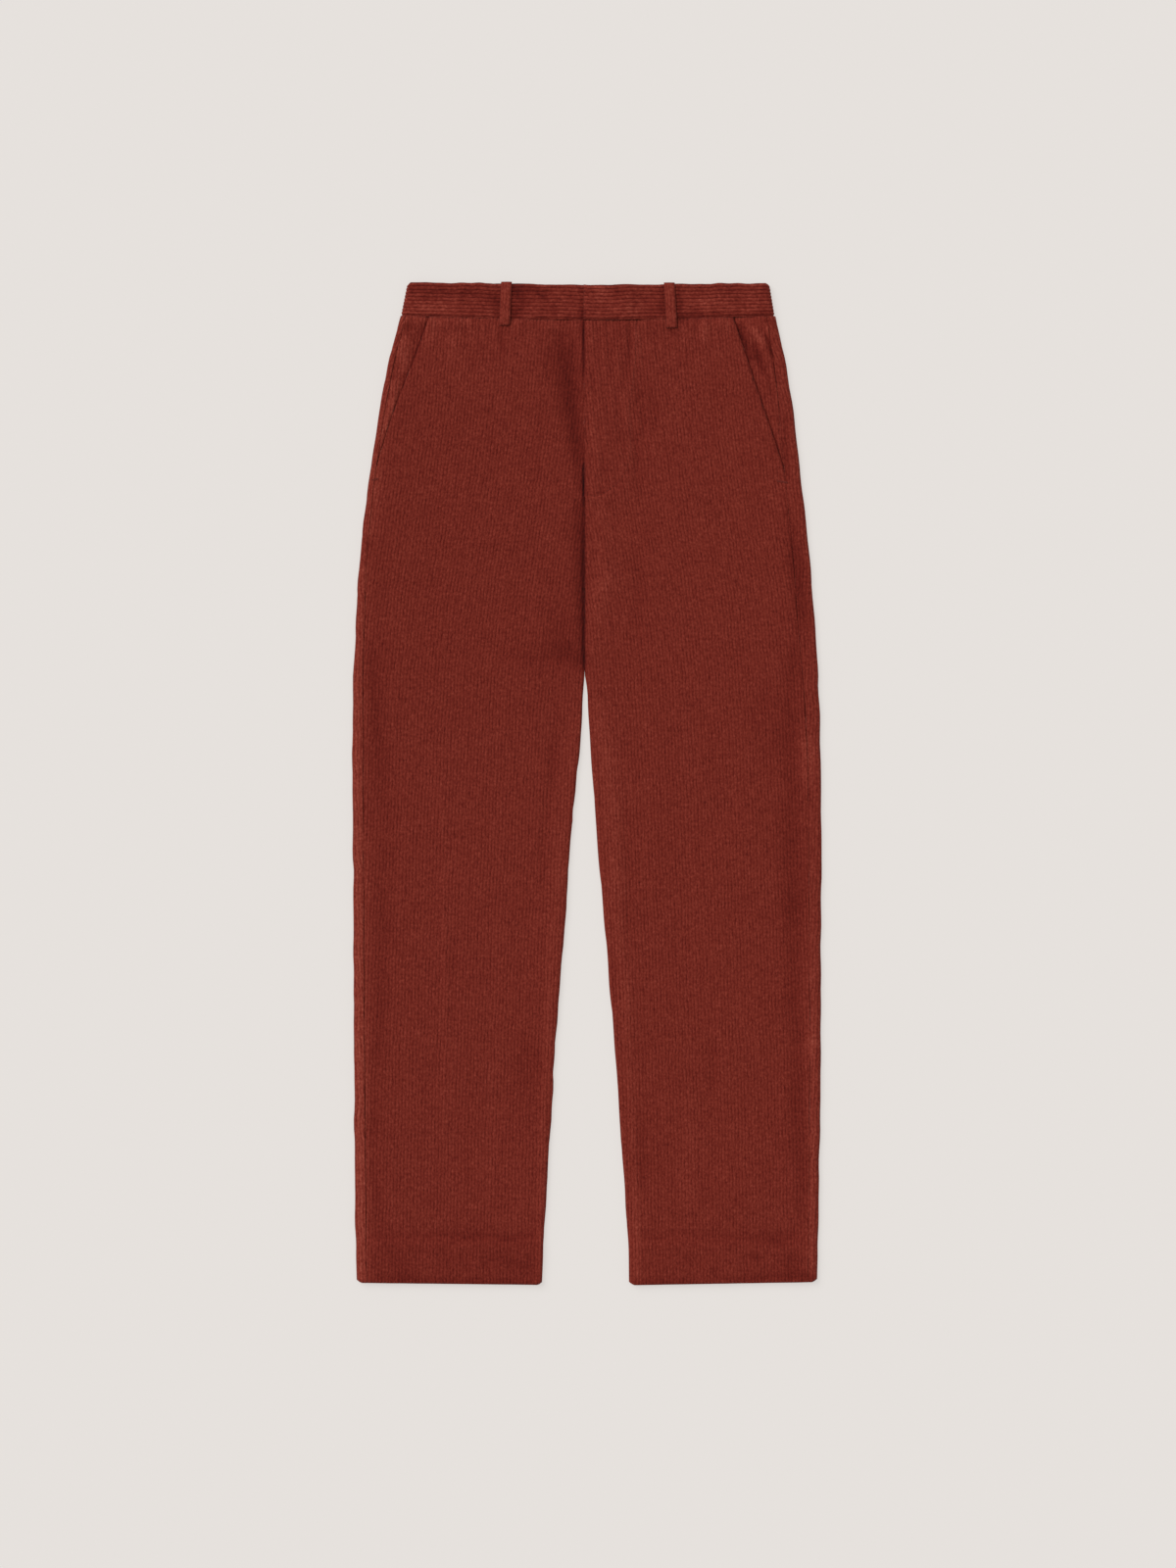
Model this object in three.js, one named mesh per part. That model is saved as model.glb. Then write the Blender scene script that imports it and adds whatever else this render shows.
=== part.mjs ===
import * as THREE from 'three';

// Corduroy trousers laid flat on their back, front upwards. Millimetres: +Y runs towards the
// waist, +X towards the wearer's left and +Z up, and the back panels rest on z = 0. Each piece
// that a maker would cut is a cloth wall of its own, and pieces stay a seam's gap apart.
//
// In every table "down" is the distance below the top of the waistband, and "left" and "right"
// are distances from the centre line towards that side of the wearer.

const LENGTH = 1054.5;
const SEAM_GAP = 0.3;
const HALF_GAP = SEAM_GAP / 2;
const CORDUROY = { color: 0x6d281f, roughness: 0.95 };
const CORDUROY_SHADED = { color: 0x63241c, roughness: 0.95 };

// The cloth, and what it measures where a hem is turned up inside or a waistband is doubled.
const WALL = 1.6;
const HEM_WALL = 3.0;
const BAND_WALL = 2.4;
const HEM_DEPTH = 44;
const FOLD_SPARE = 1.4; // a folded edge's radius is the wall and this much more

// Centre front and centre back: the crotch seam, the fly and the band's overlap, left over right.
const CENTRE_SEAM = -2.6;
const CROTCH = 312;
const FLY_END = 222;
const FLY_UNDERLAP = 10;
const FLY_WIDTH = 34;
const FLY_LIFT = WALL + SEAM_GAP;
const LIFTS_END = 246; // the front is flat again from here down, below the fly and the pockets
const BAND_LAP_EDGE = -3.6;
const BAND_UNDERLAP = 30;
const BAND_LIFT = BAND_WALL + SEAM_GAP;
const LAP_SLOPE = 28; // the overlap settles back to the cloth beside it over this width

// The waistband, 35 mm deep, with its lower seam dipping a little at the centre.
const BAND_HEIGHT = 7.2;
const SEAM_AT_SIDES = 36;
const SEAM_DIP = 4.6;
const BAND_TOP_EDGE = [
  { across: -190, down: 0.6 },
  { across: -95, down: 2 },
  { across: 0, down: 3.8 },
  { across: 190, down: 3 },
];
const BAND_CORNER = { round: 3.5, reach: 8 };
const SEAM_DIP_REACH = { from: 40, to: 190 };

// The folded outer edge of the garment.
const SIDE_EDGE = [
  { down: 4, left: 190.5, right: 187.5 },
  { down: 10, left: 192.6, right: 189.5 },
  { down: 37, left: 196, right: 194 },
  { down: 85, left: 207, right: 207 },
  { down: 127, left: 214.2, right: 215.3 },
  { down: 209, left: 224.5, right: 228.7 },
  { down: 291, left: 233.8, right: 239 },
  { down: 374, left: 240.5, right: 244.1 },
  { down: 450, left: 244.6, right: 246.2 },
  { down: 570, left: 246.2, right: 246.2 },
  { down: 817, left: 245.6, right: 244.8 },
  { down: 1023, left: 242.6, right: 243.1 },
  { down: 1054, left: 241, right: 242 },
];

// The inner edge: the centre seam down to the crotch, then the inseam fold of each leg.
const INNER_EDGE = [
  { down: 36, left: CENTRE_SEAM + HALF_GAP, right: HALF_GAP - CENTRE_SEAM },
  { down: 395, left: CENTRE_SEAM + HALF_GAP, right: HALF_GAP - CENTRE_SEAM },
  { down: 415, left: -0.6, right: 3.2 },
  { down: 487, left: 3.1, right: 7.4 },
  { down: 570, left: 9.3, right: 15.5 },
  { down: 693, left: 19.6, right: 24.7 },
  { down: 817, left: 29.9, right: 34 },
  { down: 940, left: 38.4, right: 41.4 },
  { down: 1054, left: 45.5, right: 47.5 },
];

// How far the back panel wraps round the side on to the front, up to the side seam.
const SIDE_SEAM = [
  { down: 36, left: 8, right: 4.4 },
  { down: 141, left: 14, right: 4.6 },
  { down: 207, left: 16, right: 5 },
  { down: 371, left: 18, right: 9.5 },
  { down: 487, left: 14, right: 11 },
  { down: 1054, left: 9.5, right: 11 },
];

// The slanted pocket mouths, from the band to where they run into the side seams.
const POCKET_MOUTH = [
  { down: 36, left: 152.5, right: 164.5 },
  { down: 85, left: 169, right: 182.5 },
  { down: 124, left: 182, right: 198 },
  { down: 160, left: 194.5, right: 210.5 },
  { down: 207, left: 209.5, right: 224 },
];
const POCKET_END = { left: 201, right: 212 };
const FACING_UNDERLAP = 12;
const POCKET_LIFT = 0.8;
const POCKET_SLOPE_END = 60;

// Height of the front's outer face in the middle of a leg, and of the folded edges.
const LOFT = [
  { down: 36, middle: 5.7, fold: 5.6 },
  { down: CROTCH, middle: 5.4, fold: 5.6 },
  { down: 600, middle: 4.6, fold: 5.4 },
  { down: 1002, middle: 4.6, fold: 5.4 },
  { down: 1012, middle: 6.8, fold: 7 },
];
const HEM_LINE = [
  { across: -242, down: 1051.5 },
  { across: -47, down: 1054.3 },
  { across: 45, down: LENGTH },
  { across: 241, down: 1050.8 },
];
const HEM_CORNER = 4;
const HEM_EASE = 8; // the doubled cloth of the hem comes in over this length
const SIDE_EASE = { from: 10, to: 60 }; // distance from the side fold over which the cloth settles
const INSEAM_EASE = { from: 8, to: 50 };

// Belt loops: folded strips, two on the front and three on the back.
const LOOP = { width: 10.8, wall: 1.8 };
const FRONT_LOOPS = [
  { name: 'belt_loop_front_left', top: 86.3, bottom: 89.1, from: 1.6, to: 49.2 },
  { name: 'belt_loop_front_right', top: -84.5, bottom: -86.5, from: 0.8, to: 46.6 },
];
const BACK_LOOPS = [
  { name: 'belt_loop_back_left', across: 110 },
  { name: 'belt_loop_back_centre', across: CENTRE_SEAM },
  { name: 'belt_loop_back_right', across: -110 },
];
const BACK_LOOP_REACH = { from: 3.4, to: 48 };
const LOOP_LIFT = LOOP.wall + SEAM_GAP;
const LOOP_SHOULDER = 9; // the cloth lies on a loop this far to each side of its middle
const LOOP_SLOPE = 24;
const LOOP_FADE = 34; // and is down again this far below the loop's end
const LOOP_STEP = { above: 0.5, below: 4 }; // where a front loop steps off the band, from the seam

// Rows of points down the garment, closer where a pocket, the crotch or the hem changes it.
const PANEL_ROWS = [
  38, 52, 66, 82, 104, 127, 150, 176, 201, 212, 222, 246, 278, CROTCH, 350, 395, 415, 450, 487,
  570, 650, 735, 817, 905, 1002, 1012, 1036, 1053,
];
const SIDES = [
  { name: 'left', sign: 1 },
  { name: 'right', sign: -1 },
];

// Reads a column of a table between its rows, and holds the end rows beyond them.
function readTable(table, key, column, at) {
  const above = table.findIndex((row) => row[key] >= at);
  if (above === 0) return table[0][column];
  if (above < 0) return table[table.length - 1][column];
  const [low, high] = [table[above - 1], table[above]];
  return lerp(low[column], high[column], (at - low[key]) / (high[key] - low[key]));
}

const { lerp } = THREE.MathUtils;
const rise = (value, from, to) => THREE.MathUtils.smoothstep(value, from, to);
const layer = (across, z, wall) => ({ outer: [across, z], inner: [across, z + wall] });
const spread = (from, to, steps) =>
  Array.from({ length: steps + 1 }, (_, step) => from + ((to - from) * step) / steps);
const seamLine = (x) =>
  SEAM_AT_SIDES + SEAM_DIP * (1 - rise(Math.abs(x), SEAM_DIP_REACH.from, SEAM_DIP_REACH.to));
const sideEdge = (side, down) => readTable(SIDE_EDGE, 'down', side.name, down);
const innerEdge = (side, down) => readTable(INNER_EDGE, 'down', side.name, down);
const sideSeam = (side, down) =>
  sideEdge(side, down) - readTable(SIDE_SEAM, 'down', side.name, down);
const foldHeight = (down) => readTable(LOFT, 'down', 'fold', down);
const pocketMouth = (side, down) => readTable(POCKET_MOUTH, 'down', side.name, down);
const HEM_TOP = LENGTH - HEM_DEPTH;
const wallAt = (down) => lerp(WALL, HEM_WALL, rise(down, HEM_TOP - HEM_EASE, HEM_TOP));
const curlAt = (down) => rise(down, FLY_END, CROTCH);

// A point on the garment, from its distance to the centre line on the given side.
const place = (side, across, down, z) => [side.sign * across, -down, z];

// The last row of a leg follows the hem, rounded at the corners, and the first the waist seam.
function rowDown(side, row, across) {
  const down = PANEL_ROWS[row];
  if (row === 0) return seamLine(across) + HALF_GAP;
  if (row < PANEL_ROWS.length - 1) return down;
  const hem = readTable(HEM_LINE, 'across', 'down', side.sign * across);
  const fromCorner = Math.min(sideEdge(side, down) - across, across - innerEdge(side, down));
  return hem - HEM_CORNER * (1 - rise(fromCorner, -HEM_CORNER, 2 * HEM_CORNER));
}

// Height of the front's outer face: it eases up to the folded edges, over the pocket and the fly.
function frontHeight(side, across, down) {
  const middle = readTable(LOFT, 'down', 'middle', down);
  const fold = foldHeight(down);
  const fromSide = sideEdge(side, down) - across;
  const fromInseam = across - innerEdge(side, down);
  const nearSide = 1 - rise(fromSide, SIDE_EASE.from, SIDE_EASE.to);
  const nearInseam = curlAt(down) * (1 - rise(fromInseam, INSEAM_EASE.from, INSEAM_EASE.to));
  const base = lerp(middle, fold, Math.max(nearSide, nearInseam));
  const fromMouth = pocketMouth(side, down) - across;
  const overFacing = 1 - rise(fromMouth, FACING_UNDERLAP + 2, POCKET_SLOPE_END);
  const pocket = POCKET_LIFT * overFacing * (1 - rise(down, POCKET_END[side.name], LIFTS_END));
  if (side.name === 'right') return base + pocket;
  const overFly = 1 - rise(across, FLY_WIDTH, FLY_WIDTH + LAP_SLOPE);
  return base + pocket + FLY_LIFT * overFly * (1 - rise(down, FLY_END, LIFTS_END));
}

// Height of the back's outer face, which is lifted only where it lies on a belt loop.
function backHeight(side, across, down) {
  const fromLoop = Math.min(...BACK_LOOPS.map((loop) => Math.abs(side.sign * across - loop.across)));
  const overLoop = 1 - rise(fromLoop, LOOP_SHOULDER, LOOP_SHOULDER + LOOP_SLOPE);
  return LOOP_LIFT * overLoop * (1 - rise(down, BACK_LOOP_REACH.to, BACK_LOOP_REACH.to + LOOP_FADE));
}

// A quarter turn of cloth at the inner edge, flat at a butted seam and fully curled where a leg
// folds. Towards is -1 for the front, which curls down, and +1 for the back, which curls up.
function curlSection({ start, wall, flat, drop, curl, towards }) {
  const radius = wall + FOLD_SPARE;
  return spread(0, Math.PI / 2, 4).map((angle) => {
    const across = start + radius * (1 - Math.cos(angle));
    const turned = start + radius - FOLD_SPARE * Math.cos(angle);
    const turnedDepth = drop - (drop - wall) * Math.sin(angle);
    return {
      outer: [across, flat + towards * curl * drop * (1 - Math.sin(angle))],
      inner: [lerp(across, turned, curl), flat + towards * lerp(wall, turnedDepth, curl)],
    };
  });
}

// Points of one row of a wall: pairs of the outer and the inner face, from the inner edge out.
function frontSection(side, row) {
  const down = PANEL_ROWS[row];
  const wall = wallAt(down);
  const underlapped = side.name === 'right' && down < FLY_END;
  const start = underlapped ? -FLY_UNDERLAP : innerEdge(side, down);
  const centre = start + wall + FOLD_SPARE;
  const seam = sideSeam(side, down) - SEAM_GAP;
  const end = down <= POCKET_END[side.name] ? Math.min(pocketMouth(side, down), seam) : seam;
  const flat = frontHeight(side, centre, down);
  const drop = flat - foldHeight(down) / 2 - HALF_GAP;
  const curl = curlSection({ start, wall, flat, drop, curl: curlAt(down), towards: -1 });
  const breaks = down < CROTCH
    ? [...spread(centre, FLY_WIDTH, 2), ...spread(FLY_WIDTH, FLY_WIDTH + LAP_SLOPE, 2).slice(1)]
    : spread(centre, FLY_WIDTH + LAP_SLOPE, 4);
  const columns = [...breaks.slice(1), ...spread(FLY_WIDTH + LAP_SLOPE, end, 5).slice(1)];
  return [...curl, ...columns.map((across) => layer(across, frontHeight(side, across, down), -wall))];
}

// The half turn of cloth at the side, through the given angles, from underneath to the top.
function foldSection(edge, radius, height, wall, angles) {
  const centre = edge - radius;
  return angles.map((angle) => ({
    outer: [centre + radius * Math.cos(angle), (height / 2) * (1 + Math.sin(angle))],
    inner: [
      centre + (radius - wall) * Math.cos(angle),
      height / 2 + (height / 2 - wall) * Math.sin(angle),
    ],
  }));
}

// Columns of the back, placed so that the cloth lies fairly on the belt loops at the waist.
function backColumns(side, from, to) {
  const loop = Math.abs(BACK_LOOPS[0].across);
  const settled = LOOP_SHOULDER + LOOP_SLOPE;
  const columns = [LOOP_SHOULDER, settled, loop - settled, loop - LOOP_SHOULDER,
    loop + LOOP_SHOULDER, loop + settled];
  return columns.map((across) => lerp(from, to, across / sideEdge(side, PANEL_ROWS[0])));
}

// The back panel: its inner edge, the stretch that lies on the surface, the side fold, and the
// strip that wraps on to the front as far as the side seam.
function backSection(side, row) {
  const down = PANEL_ROWS[row];
  const wall = wallAt(down);
  const radius = wall + FOLD_SPARE;
  const fold = foldHeight(down);
  const edge = sideEdge(side, down);
  const start = innerEdge(side, down);
  const flat = backHeight(side, start, down);
  const drop = fold / 2 - HALF_GAP;
  const curl = curlSection({ start, wall, flat, drop, curl: curlAt(down), towards: 1 });
  const columns = backColumns(side, start + radius, edge - radius);
  const lying = columns.map((across) => layer(across, backHeight(side, across, down), wall));
  const turn = foldSection(edge, radius, fold, wall, spread(-Math.PI / 2, Math.PI / 2, 6));
  return [...curl, ...lying, ...turn, layer(sideSeam(side, down), fold, -wall)];
}

// The pocket facing lies under the slanted mouth and rises beyond it to the side seam.
function facingSection(side, down) {
  const mouth = pocketMouth(side, down);
  const seam = sideSeam(side, down) - SEAM_GAP;
  const shown = Math.min(mouth, seam - 1);
  const columns = [shown - FACING_UNDERLAP, ...spread(shown, seam, 3)];
  return columns.map((across) => {
    const covered = Math.min(across, shown);
    const under = frontHeight(side, covered, down) - WALL - SEAM_GAP;
    const beyond = rise(across, mouth + SEAM_GAP, Math.max(seam, mouth + FACING_UNDERLAP));
    return layer(across, lerp(under, foldHeight(down), beyond), -WALL);
  });
}

// Half a waistband: from the overlap at the centre front, round the side, to the centre back.
function bandSection(side, down) {
  const left = side.name === 'left';
  const radius = BAND_WALL + FOLD_SPARE;
  const edge = sideEdge(side, down);
  const lapHeight = (across) =>
    BAND_HEIGHT + (left ? BAND_LIFT * (1 - rise(across, FLY_WIDTH, FLY_WIDTH + LAP_SLOPE)) : 0);
  const start = left ? BAND_LAP_EDGE : -BAND_UNDERLAP;
  const frontColumns = [
    ...spread(start, FLY_WIDTH, 2),
    ...spread(FLY_WIDTH, FLY_WIDTH + LAP_SLOPE, 3).slice(1),
    ...spread(FLY_WIDTH + LAP_SLOPE, edge - radius, 5).slice(1, -1),
  ];
  const front = frontColumns.map((across) => layer(across, lapHeight(across), -BAND_WALL));
  const turn = foldSection(edge, radius, BAND_HEIGHT, BAND_WALL, spread(Math.PI / 2, -Math.PI / 2, 6));
  const centre = innerEdge(side, down);
  const columns = [...backColumns(side, centre, edge - radius).reverse(), centre];
  const back = columns.map((across) => layer(across, backHeight(side, across, 0), BAND_WALL));
  return [...front, ...turn, ...back];
}

// Joins rows of points into one closed wall: two faces and the four rims between them.
function clothWall(outer, inner) {
  const [rows, columns] = [outer.length, outer[0].length];
  const behind = rows * columns;
  const index = [];
  const quad = (a, b, c, d) => index.push(a, b, c, a, c, d);
  const at = (row, column) => row * columns + column;
  for (let row = 0; row < rows - 1; row += 1) {
    for (let column = 0; column < columns - 1; column += 1) {
      const [here, below] = [at(row, column), at(row + 1, column)];
      quad(here, here + 1, below + 1, below);
      quad(below + behind, below + 1 + behind, here + 1 + behind, here + behind);
    }
    const [firstHere, lastHere] = [at(row, 0), at(row, columns - 1)];
    const [firstBelow, lastBelow] = [firstHere + columns, lastHere + columns];
    quad(firstHere, firstBelow, firstBelow + behind, firstHere + behind);
    quad(lastBelow, lastHere, lastHere + behind, lastBelow + behind);
  }
  for (let column = 0; column < columns - 1; column += 1) {
    const last = at(rows - 1, column);
    quad(column + 1, column, column + behind, column + 1 + behind);
    quad(last, last + 1, last + 1 + behind, last + behind);
  }
  const geometry = new THREE.BufferGeometry();
  geometry.setAttribute('position', new THREE.Float32BufferAttribute([...outer, ...inner].flat(2), 3));
  geometry.setIndex(signedVolume(geometry, index) > 0 ? index : index.reverse());
  geometry.computeVertexNormals();
  return geometry;
}

// Six times the volume that the triangles enclose, positive when they face outwards.
function signedVolume(geometry, index) {
  const position = geometry.getAttribute('position');
  const corner = index.map((vertex) => new THREE.Vector3().fromBufferAttribute(position, vertex));
  let volume = 0;
  for (let first = 0; first < corner.length; first += 3) {
    volume += corner[first].dot(corner[first + 1].clone().cross(corner[first + 2]));
  }
  return volume;
}

function clothMesh(name, rows, finish) {
  const geometry = clothWall(rows.map((row) => row.outer), rows.map((row) => row.inner));
  const mesh = new THREE.Mesh(geometry, new THREE.MeshStandardMaterial({ ...finish, metalness: 0 }));
  mesh.name = name;
  return mesh;
}

// Turns a section's pairs into points, with each column's own distance down the garment.
function sectionRow(side, section, downAt) {
  return {
    outer: section.map((pair) => place(side, pair.outer[0], downAt(pair.outer[0]), pair.outer[1])),
    inner: section.map((pair) => place(side, pair.inner[0], downAt(pair.outer[0]), pair.inner[1])),
  };
}

function panel(name, side, section) {
  const rows = PANEL_ROWS.map((_, row) => {
    const downAt = (across) => rowDown(side, row, across);
    return sectionRow(side, section(side, row), downAt);
  });
  return clothMesh(name, rows, CORDUROY);
}

function pocketFacing(side) {
  const stations = PANEL_ROWS.filter((down) => down <= POCKET_END[side.name]);
  const rows = stations.map((down, row) => {
    const downAt = (across) => (row === 0 ? seamLine(across) + HALF_GAP : down);
    return sectionRow(side, facingSection(side, down), downAt);
  });
  return clothMesh(`pocket_facing_${side.name}`, rows, CORDUROY_SHADED);
}

function waistband(side) {
  const rows = [0, 0.1, 0.5, 1].map((part) => {
    const nominal = lerp(SIDE_EDGE[0].down, SEAM_AT_SIDES, part);
    const edge = sideEdge(side, nominal);
    const downAt = (across) => {
      const x = side.sign * across;
      const corner = BAND_CORNER.round * rise(across, edge - BAND_CORNER.reach, edge);
      const top = readTable(BAND_TOP_EDGE, 'across', 'down', x) + corner;
      return lerp(top, seamLine(x) - HALF_GAP, part);
    };
    return sectionRow(side, bandSection(side, nominal), downAt);
  });
  return clothMesh(`waistband_${side.name}`, rows, CORDUROY);
}

// A front loop lies on the band and steps down past its seam on to the front panel.
function frontLoop({ name, top, bottom, from, to }) {
  const side = SIDES.find(({ sign }) => sign === Math.sign(top));
  const seam = seamLine(top);
  const stations = [
    { down: from, rest: BAND_HEIGHT },
    { down: seam - LOOP_STEP.above, rest: BAND_HEIGHT },
    { down: seam + LOOP_STEP.below, rest: frontHeight(side, Math.abs(top), seam) },
    { down: to, rest: frontHeight(side, Math.abs(top), seam) },
  ];
  const rows = stations.map(({ down, rest }) => {
    const middle = THREE.MathUtils.mapLinear(down, from, to, top, bottom);
    const ends = [middle - LOOP.width / 2, middle, middle + LOOP.width / 2];
    return {
      outer: ends.map((x) => [x, -down, rest + SEAM_GAP + LOOP.wall]),
      inner: ends.map((x) => [x, -down, rest + SEAM_GAP]),
    };
  });
  return clothMesh(name, rows, CORDUROY);
}

function backLoop({ name, across }) {
  const ends = [across - LOOP.width / 2, across, across + LOOP.width / 2];
  const rows = spread(BACK_LOOP_REACH.from, BACK_LOOP_REACH.to, 2).map((down) => ({
    outer: ends.map((x) => [x, -down, 0]),
    inner: ends.map((x) => [x, -down, LOOP.wall]),
  }));
  return clothMesh(name, rows, CORDUROY);
}

const trousers = new THREE.Group();
for (const side of SIDES) {
  trousers.add(panel(`front_${side.name}`, side, frontSection));
  trousers.add(panel(`back_${side.name}`, side, backSection));
  trousers.add(pocketFacing(side));
  trousers.add(waistband(side));
}
FRONT_LOOPS.forEach((loop) => trousers.add(frontLoop(loop)));
BACK_LOOPS.forEach((loop) => trousers.add(backLoop(loop)));

// The origin is under the middle of the garment, on the surface that it lies on.
const box = new THREE.Box3().setFromObject(trousers);
const middle = box.getCenter(new THREE.Vector3());
trousers.position.set(-middle.x, -middle.y, -box.min.z);
trousers.updateMatrixWorld(true);

export default trousers;
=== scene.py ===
"""Corduroy trousers lying flat on their back: the cloth, its sewing and the light on them.

Lengths are in millimetres until a mesh is made, in the frame's axes: +Y towards the waist, +X
towards the wearer's left, +Z up. "Down" is the distance below the top of the waistband, and
"across" the distance from the centre line towards the side being made (+1 left, -1 right).
"""

import math

import bmesh
import bpy
import numpy as np
from mathutils import Matrix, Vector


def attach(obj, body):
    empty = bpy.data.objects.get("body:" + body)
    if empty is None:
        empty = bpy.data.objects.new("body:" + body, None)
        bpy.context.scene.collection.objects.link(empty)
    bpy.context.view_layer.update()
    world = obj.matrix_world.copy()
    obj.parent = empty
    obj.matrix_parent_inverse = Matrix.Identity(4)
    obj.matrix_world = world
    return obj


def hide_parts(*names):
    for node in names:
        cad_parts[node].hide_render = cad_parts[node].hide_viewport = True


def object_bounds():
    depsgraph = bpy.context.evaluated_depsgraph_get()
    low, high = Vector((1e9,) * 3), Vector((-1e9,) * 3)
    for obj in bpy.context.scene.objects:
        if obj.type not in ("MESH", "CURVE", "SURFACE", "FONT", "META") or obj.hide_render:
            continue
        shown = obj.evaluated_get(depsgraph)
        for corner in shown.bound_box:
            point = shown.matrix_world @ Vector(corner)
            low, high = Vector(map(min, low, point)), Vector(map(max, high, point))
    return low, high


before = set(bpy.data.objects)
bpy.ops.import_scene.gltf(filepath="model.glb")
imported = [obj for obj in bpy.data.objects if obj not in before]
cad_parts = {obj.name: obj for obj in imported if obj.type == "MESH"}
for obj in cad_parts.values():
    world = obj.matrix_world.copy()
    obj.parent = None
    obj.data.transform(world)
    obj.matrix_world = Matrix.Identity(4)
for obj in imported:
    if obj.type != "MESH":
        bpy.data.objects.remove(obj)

MM = 0.001
CAD_LOW, CAD_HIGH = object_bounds()
SIDES = {"left": 1, "right": -1}


# --- Front panels ---
# Two panels of the same corduroy. The left one is folded under at its centre edge, over the fly,
# and laps over the right one; each is cut away on a slant for its pocket, and falls in soft
# uneven hollows and ridges from the crotch, the hips and the knees.

RIB_PITCH = 3.55
RIB_DEPTH = 0.55
RIB_COLUMNS = 6  # columns of the mesh to each rib
RIB_SQUARENESS = 2.6
CLOTH = 1.3
CUT_READ = {"from": 50, "to": 1040}  # the CAD's edges are read clear of their rounded ends
PANEL_TOP = 38
PANEL_FOOT = 1054
END_REACH = 30  # over this length the rows turn from level to the line of the waist or the hem
HEM_TOP = 1010
HEM_LAYERS = 1.8
HEM_CORNER = {"drop": 5.0, "from": -4, "to": 7}
CROTCH_CURL = (398, 426)  # above this the centre seams are flat, and below it the legs fold
LEGS_PART = {"held": 385.0, "from": 407, "to": 432}  # held together, then parting, by down
HIP_SPREAD = {"by": 1.5, "from": 60, "to": 330}
INSEAM_RADIUS = 4.2
SEAM_GAP = 0.3
SEAM_CLEAR = 0.55 * SEAM_GAP
SEAM_SINK = 0.9

# The ribs run along the cloth, which lies turned outwards below the hips: how far a rib that
# starts at the waist has moved outwards by each distance down.
RIB_DRIFT = {
    "down": [0, 60, 140, 210, 350, 415, 480, 700, 860, 1060],
    "out": [0, 3.6, 11.0, 20.0, 40.5, 46.5, 50.0, 58.0, 63.0, 66.0],
}
# The waist seam dips at the centre; the hems slope a little and are rounded at their corners.
WAIST_SEAM = {"x": [-190, -40, 40, 190], "down": [36.2, 40.4, 40.6, 36.6]}
HEM_LINE = {"x": [-242, -47, 45, 241], "down": [1051.4, 1053.6, 1053.9, 1050.6]}


def smooth(value, start, end):
    """0 before start and 1 past end, with an even curve between."""
    t = np.clip((np.asarray(value, float) - start) / (end - start), 0, 1)
    return t * t * (3 - 2 * t)


def mix(a, b, share):
    return a + (b - a) * share


def ripple(x, y, size, seed, waves=7):
    """An uneven soft waviness of about -1 to 1, its bumps about size apart."""
    rng = np.random.default_rng(seed)
    total = 0.0
    for _ in range(waves):
        turn, phase = rng.uniform(0, 2 * math.pi, 2)
        length = size * rng.uniform(0.7, 1.6)
        run = x * math.cos(turn) + y * math.sin(turn)
        total = total + np.sin(2 * math.pi / length * run + phase)
    return total / math.sqrt(waves)


def cut_line(node, side, pick):
    """One edge of a CAD panel, row by row: the distances down, and those across."""
    points = np.array([v.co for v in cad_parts[node].data.vertices]) / MM
    down = np.round(CAD_HIGH[1] / MM - points[:, 1], 1)
    rows = [d for d in np.unique(down) if CUT_READ["from"] < d < CUT_READ["to"]]
    return np.array([[d, pick(side * points[down == d, 0])] for d in rows]).T


def along(line, at):
    """Reads a cut line smoothly between its rows, and carries it straight on past its ends."""
    down, across = line
    slope = np.gradient(across, down)
    held = np.clip(at, down[0], down[-1])
    row = np.clip(np.searchsorted(down, held) - 1, 0, len(down) - 2)
    step = down[row + 1] - down[row]
    t = (held - down[row]) / step
    value = (
        (1 + 2 * t) * (1 - t) ** 2 * across[row]
        + t * t * (3 - 2 * t) * across[row + 1]
        + t * (1 - t) ** 2 * step * slope[row]
        - t * t * (1 - t) * step * slope[row + 1]
    )
    end_slope = np.where(at < down[0], slope[0], slope[-1])
    return value + (at - held) * end_slope


def waver(line, seed, from_down=60):
    """Lets a folded edge wander a little, as an edge of soft cloth does, from a distance down."""
    down = np.arange(line[0, 0], line[0, -1] + 1, 12)
    stray = 0.45 * ripple(down, 0 * down, 42, seed) * smooth(down, from_down, from_down + 30)
    return np.array([down, along(line, down) + stray])


def meet(line):
    """Holds an inner edge at the centre seam down to the crotch point, and lets it part below."""
    down = np.arange(line[0, 0], line[0, -1] + 1, 5)
    across = along(line, down)
    at_seam = along(line, np.array(LEGS_PART["held"]))
    parting = mix(at_seam, across, smooth(down, LEGS_PART["from"], LEGS_PART["to"]))
    return np.array([down, np.where(down > LEGS_PART["held"], parting, across)])


def spread(line):
    """Lays a side fold a little further out over the hips than the panel is cut."""
    over_hips = 1 - smooth(line[0], HIP_SPREAD["from"], HIP_SPREAD["to"])
    return line + [[0], [HIP_SPREAD["by"]]] * over_hips


def drift(down):
    return np.interp(down, RIB_DRIFT["down"], RIB_DRIFT["out"])


def wander(chart, down):
    """How far a rib strays from a straight run."""
    return 0.30 * ripple(chart, down, 70, 11) + 0.26 * ripple(chart, down, 34, 12)


def lay_ribs(chart, down, shift, low, high):
    """Where a panel's points lie along it, and the rib coordinates that they keep there."""
    s = np.clip(chart + shift + wander(chart, down), low, high)
    return s, s - shift - wander(s - shift, down)


def rib(phase):
    """Depth of the groove between two ribs, as a share: 1 in the groove and 0 on the crest."""
    return np.abs(2 * (phase % 1.0) - 1) ** RIB_SQUARENESS


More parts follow.
